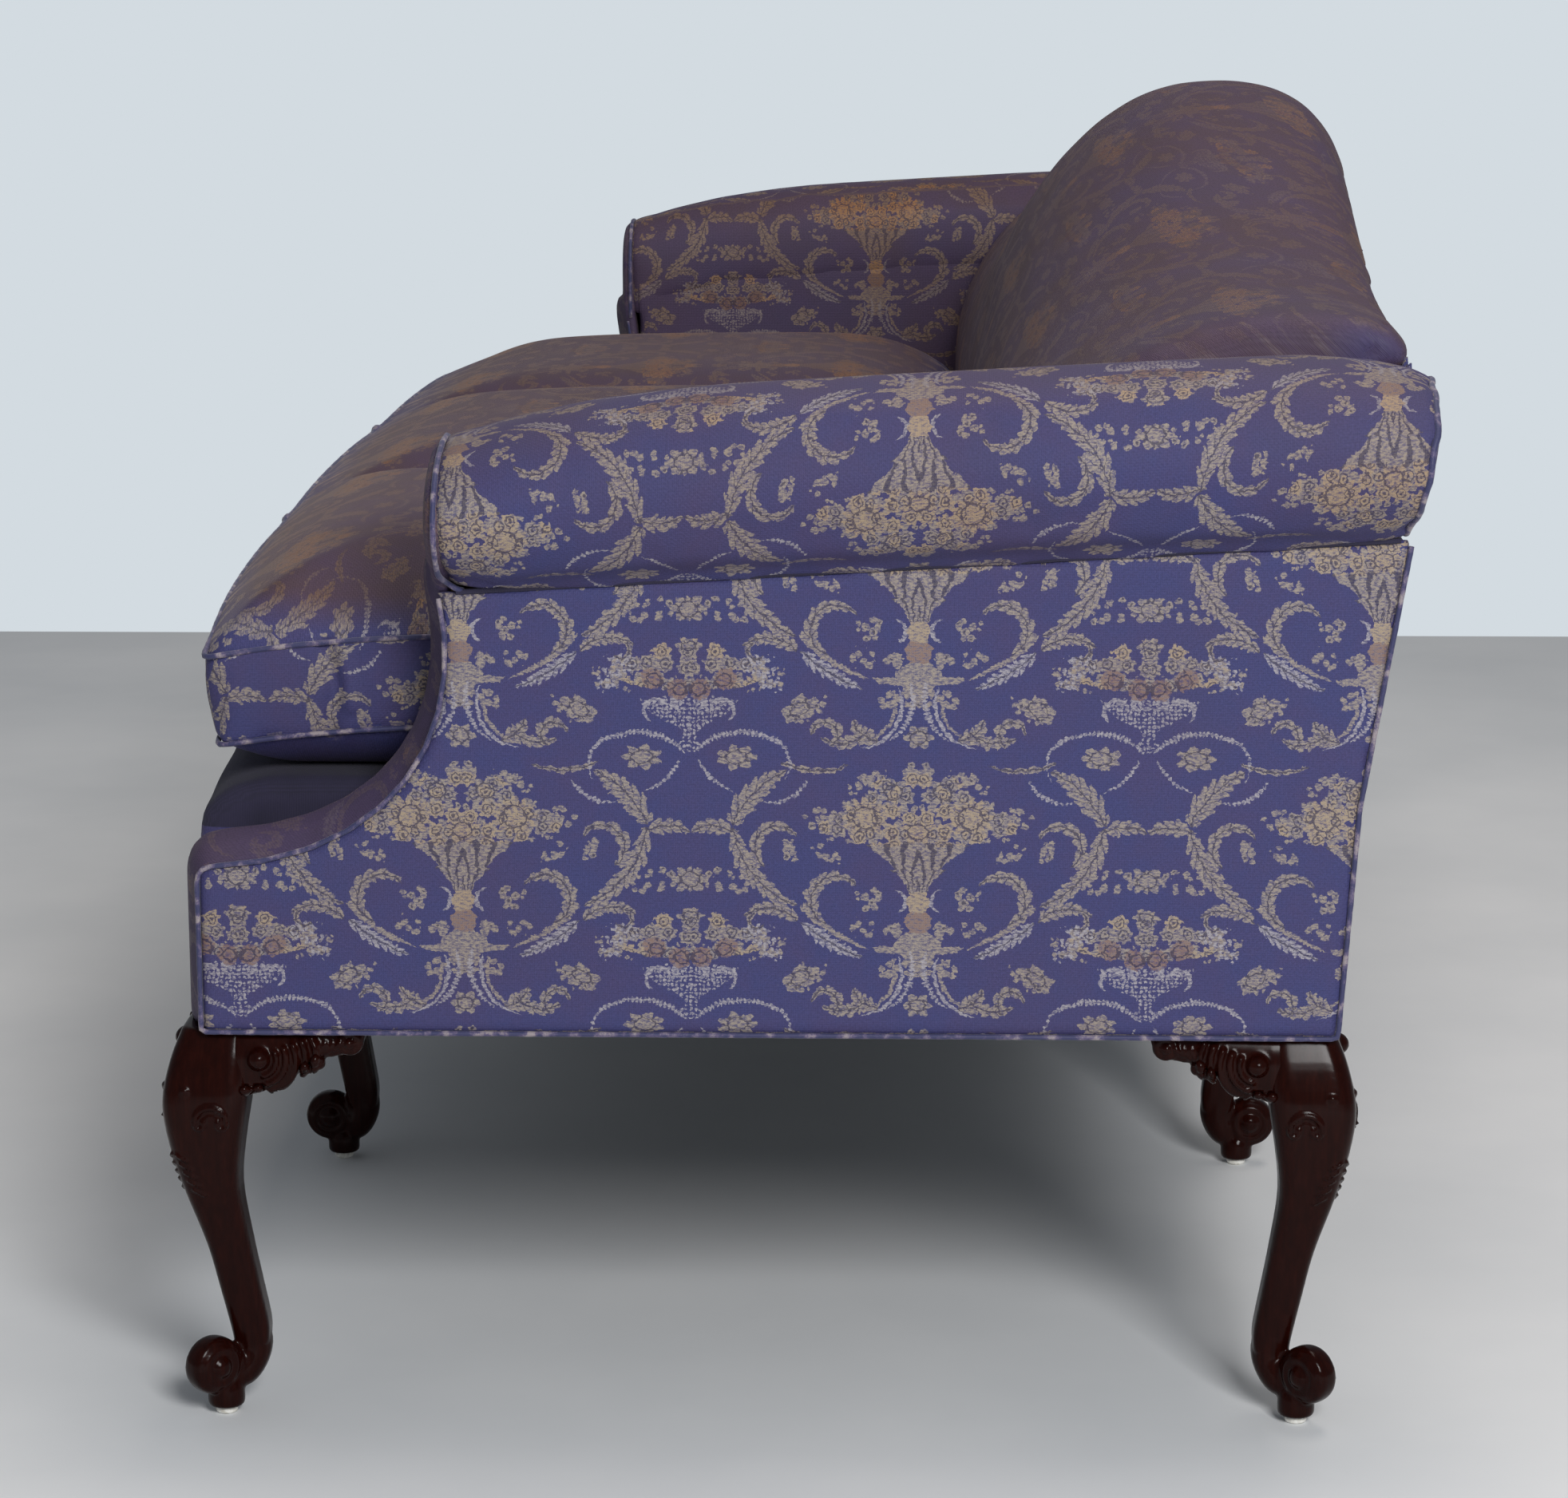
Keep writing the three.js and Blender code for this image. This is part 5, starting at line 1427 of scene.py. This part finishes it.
def sawn(outline, back, front):
    """An outline of (along, down) from the frame, cut through a board that stands from back to front."""
    mesh = bpy.data.meshes.new("sawn")
    corners = [(along * MM, back * MM, (LEG_TOP - down) * MM) for along, down in outline]
    mesh.from_pydata(corners, [], [range(len(outline))])
    piece = placed("sawn", mesh)
    select_only(piece)
    bpy.ops.object.mode_set(mode="EDIT")
    bpy.ops.mesh.select_all(action="SELECT")
    bpy.ops.mesh.extrude_region_move(TRANSFORM_OT_translate={"value": (0, (front - back) * MM, 0)})
    bpy.ops.object.mode_set(mode="OBJECT")
    put_right(piece, merge=False)
    return piece


# %% The bracket
board = sawn([(-6, 0), (80, 0), *reversed(BRACKET_EDGE)], BRACKET_FRONT - BRACKET_DEPTH, BRACKET_FRONT)
boss = bead((BOSS_AT[0], BRACKET_FRONT - BOSS_SUNK, LEG_TOP - BOSS_AT[1]), BOSS_RADIUS)
volute_middle = (VOLUTE_AT[0], BRACKET_FRONT - VOLUTE_SUNK, LEG_TOP - VOLUTE_AT[1])
volute = turned(VOLUTE, volute_middle, (0, 1, 0))
drops = [bead((at, BRACKET_FRONT + DROP_PROUD, LEG_TOP - down), size) for at, down, size in DROPS]
bracket = one_skin("carved_bracket", [board, boss, volute, *drops], 1.4, 2)
points, normals = points_of(bracket), normals_of(bracket)
edge_at = np.interp(points[:, 0] / MM, *zip(*BRACKET_EDGE))
down = np.clip((LEG_TOP - points[:, 2] / MM) / edge_at, 0, 1)
swell_share = np.sqrt(np.clip(1 - (2 * down - 1) ** 2, 0, 1))
swell_share *= np.interp(points[:, 0] / MM, [0, 40, 60, 80], [1, 0.7, 0.3, 0])
points[:, 1] += np.where(normals[:, 1] > 0.3, BRACKET_SWELL * MM * swell_share, 0)
move_points(bracket, points)
boss_middle, face = (BOSS_AT[0], 0, LEG_TOP - BOSS_AT[1]), ((1, 0, 0), (0, 0, 1))
ribs = [(arc(boss_middle, radius, -75, 22, face, 14), RIB_WIDTH, RIB_HEIGHT) for radius in RIB_RADII]
for i in range(4):
    ribs.append(([(44 + 5 * i, 0, LEG_TOP - 20 + 2 * i), (49 + 5 * i, 0, LEG_TOP - 9)], 2.2, 1.8))
carve(bracket, ribs, through=1)
smooth(bracket)


# %% Brackets beside every leg
def beside(source, name, foot, along, out):
    """A copy whose length runs one way and whose face looks another, with its faces turned outward."""
    twin = copied(source, name)
    twin.matrix_world = Matrix((along, out, (0, 0, 1))).transposed().to_4x4()
    twin.matrix_world.translation = foot
    select_only(twin)
    bpy.ops.object.transform_apply()
    put_right(twin, merge=False)
    return twin


LEG_REACH = 22.5
for row, side in LEG_NAMES:
    foot, ahead, outward = stand_of(row, side)
    if outward:
        turns = {"side": ((0, -ahead, 0), (outward, 0, 0)), row: ((-outward, 0, 0), (0, ahead, 0))}
    else:
        turns = {"left": ((-1, 0, 0), (0, ahead, 0)), "right": ((1, 0, 0), (0, ahead, 0))}
    for which, (along, out) in turns.items():
        node = f"{row}_{side}_leg_bracket_{which}"
        piece = beside(bracket, "carved_" + node, foot + Vector(along) * LEG_REACH * MM, along, out)
        dress(piece, "frame", "mahogany", mahogany, node)
bpy.data.objects.remove(bracket)

# %% [markdown]
# ## Under the seat
#
# Jute straps are stretched over the rails both ways and woven over and under each other; the platform
# lies on them. A thin black cambric closes the frame from below and sags a little between the rails.

# %% Webbing
STRAP, STRAP_THICK, WEAVE, CROSSING = 52, 1.1, 0.65, 45
web_low, web_high = (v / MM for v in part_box("seat_webbing"))
web_level = (web_low.z + web_high.z) / 2
down_lines = np.linspace(web_low.x + STRAP / 2, web_high.x - STRAP / 2, 8)
long_lines = np.linspace(web_low.y, web_high.y, 4)[1:3]


def strap(name, start, end, crossings, phase):
    """One strap from rail to rail, that passes over and under the straps it crosses."""
    start, end = np.array(start), np.array(end)
    run = np.linalg.norm(end - start)
    steps = int(run / 10)
    bpy.ops.object.select_all(action="DESELECT")
    bpy.ops.mesh.primitive_grid_add(x_subdivisions=steps, y_subdivisions=4, size=MM)
    piece = bpy.context.object
    piece.name = piece.data.name = name
    points = points_of(piece) / MM
    way = (end - start) / run
    side = np.array([-way[1], way[0]])
    along, over = (points[:, 0] + 0.5) * run, points[:, 1] * STRAP
    lift = sum((1 if (i + phase) % 2 else -1) * np.exp(-((along - at) / CROSSING) ** 4)
               for i, at in enumerate(crossings))
    flat = start + along[:, None] * way + over[:, None] * side
    move_points(piece, np.column_stack([flat, web_level + WEAVE * lift]) * MM)
    apply(piece, "SOLIDIFY", thickness=STRAP_THICK * MM, offset=0)
    smooth(piece)
    dress(piece, "frame", "jute", jute, "seat_webbing")


for i, x in enumerate(down_lines):
    strap(f"cross_strap_{i + 1}", (x, web_low.y), (x, web_high.y), long_lines - web_low.y, i)
for i, y in enumerate(long_lines):
    strap(f"long_strap_{i + 1}", (web_low.x, y), (web_high.x, y), down_lines - web_low.x, i + 1)

# %% Dust cover
COVER_SAG, COVER_THICK, COVER_INSET = 3.0, 0.6, 20
cover_low, cover_high = (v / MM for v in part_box("dust_cover"))
bpy.ops.object.select_all(action="DESELECT")
bpy.ops.mesh.primitive_grid_add(x_subdivisions=100, y_subdivisions=40, size=MM)
cover = bpy.context.object
cover.name = cover.data.name = "cambric_cover"
points = points_of(cover) / MM + [0.5, 0.5, 0]
across = cover_low.x + points[:, 0] * (cover_high.x - cover_low.x)
front_edge = front_line(across) + COVER_INSET
along = front_edge + points[:, 1] * (cover_high.y - front_edge)
sag = COVER_SAG * (1 - (2 * points[:, 0] - 1) ** 8) * (1 - (2 * points[:, 1] - 1) ** 8)
move_points(cover, np.column_stack([across, along, cover_low.z + 1 - sag]) * MM)
apply(cover, "SOLIDIFY", thickness=COVER_THICK * MM, offset=0)
smooth(cover)
dress(cover, "frame", "cambric", cambric, "dust_cover")

# %% Materials of the kept nodes
for name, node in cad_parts.items():
    for place in node.material_slots if not node.hide_render else ():
        place.material = beech
print("kept", [name for name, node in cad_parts.items() if not node.hide_render])

# %% [markdown]
# ## The room
#
# A pale floor and wall, soft daylight from behind the camera and above, and a plain fill from all
# sides.

# %% Floor, wall and lights
bpy.ops.object.select_all(action="DESELECT")
bpy.ops.mesh.primitive_plane_add(size=8, location=(1.8, 0, 0))
floor = bpy.context.object
floor.name = "floor"
floor_finish, tree = new_material("pale_floor")
at = add(tree, "TexCoord", out="Object")
dust = add(tree, "TexNoise", {"Vector": at, "Scale": 3, "Detail": 6})
pale = add(tree, "ValToRGB", [dust], stops=[(0.3, linear("#e6e8ea")), (0.7, linear("#f2f3f4"))])
polish(tree, Base_Color=pale, Roughness=0.7)
floor.data.materials.append(floor_finish)

world = bpy.data.worlds.new("daylight")
bpy.context.scene.world = world
world.use_nodes = True
world.node_tree.nodes.clear()
seen = add(world.node_tree, "LightPath", out="Is Camera Ray")
light = add(world.node_tree, "Background", {"Color": linear("#dfe6ee"), "Strength": 0.27})
wall = add(world.node_tree, "Background", {"Color": linear("#d3dbe1"), "Strength": 1})
both = add(world.node_tree, "MixShader", [seen, light, wall])
add(world.node_tree, "OutputWorld", [both])


def lamp(name, place, target, size, power, colour):
    """A soft square lamp that faces its target."""
    light = bpy.data.lights.new(name, "AREA")
    light.size = size
    light.energy = power
    light.color = linear(colour)[:3]
    made = placed(name, light)
    made.location = place
    made.rotation_euler = (Vector(target) - Vector(place)).to_track_quat("-Z", "Y").to_euler()


lamp("window", (4.2, 1.1, 2.3), (0.6, 0, 0.5), 1.2, 118, "#ffffff")
lamp("ceiling", (0.2, 0.4, 3.0), (0.2, 0, 0.4), 1.6, 31, "#fff6ec")
bpy.context.scene.view_settings.view_transform = "Standard"
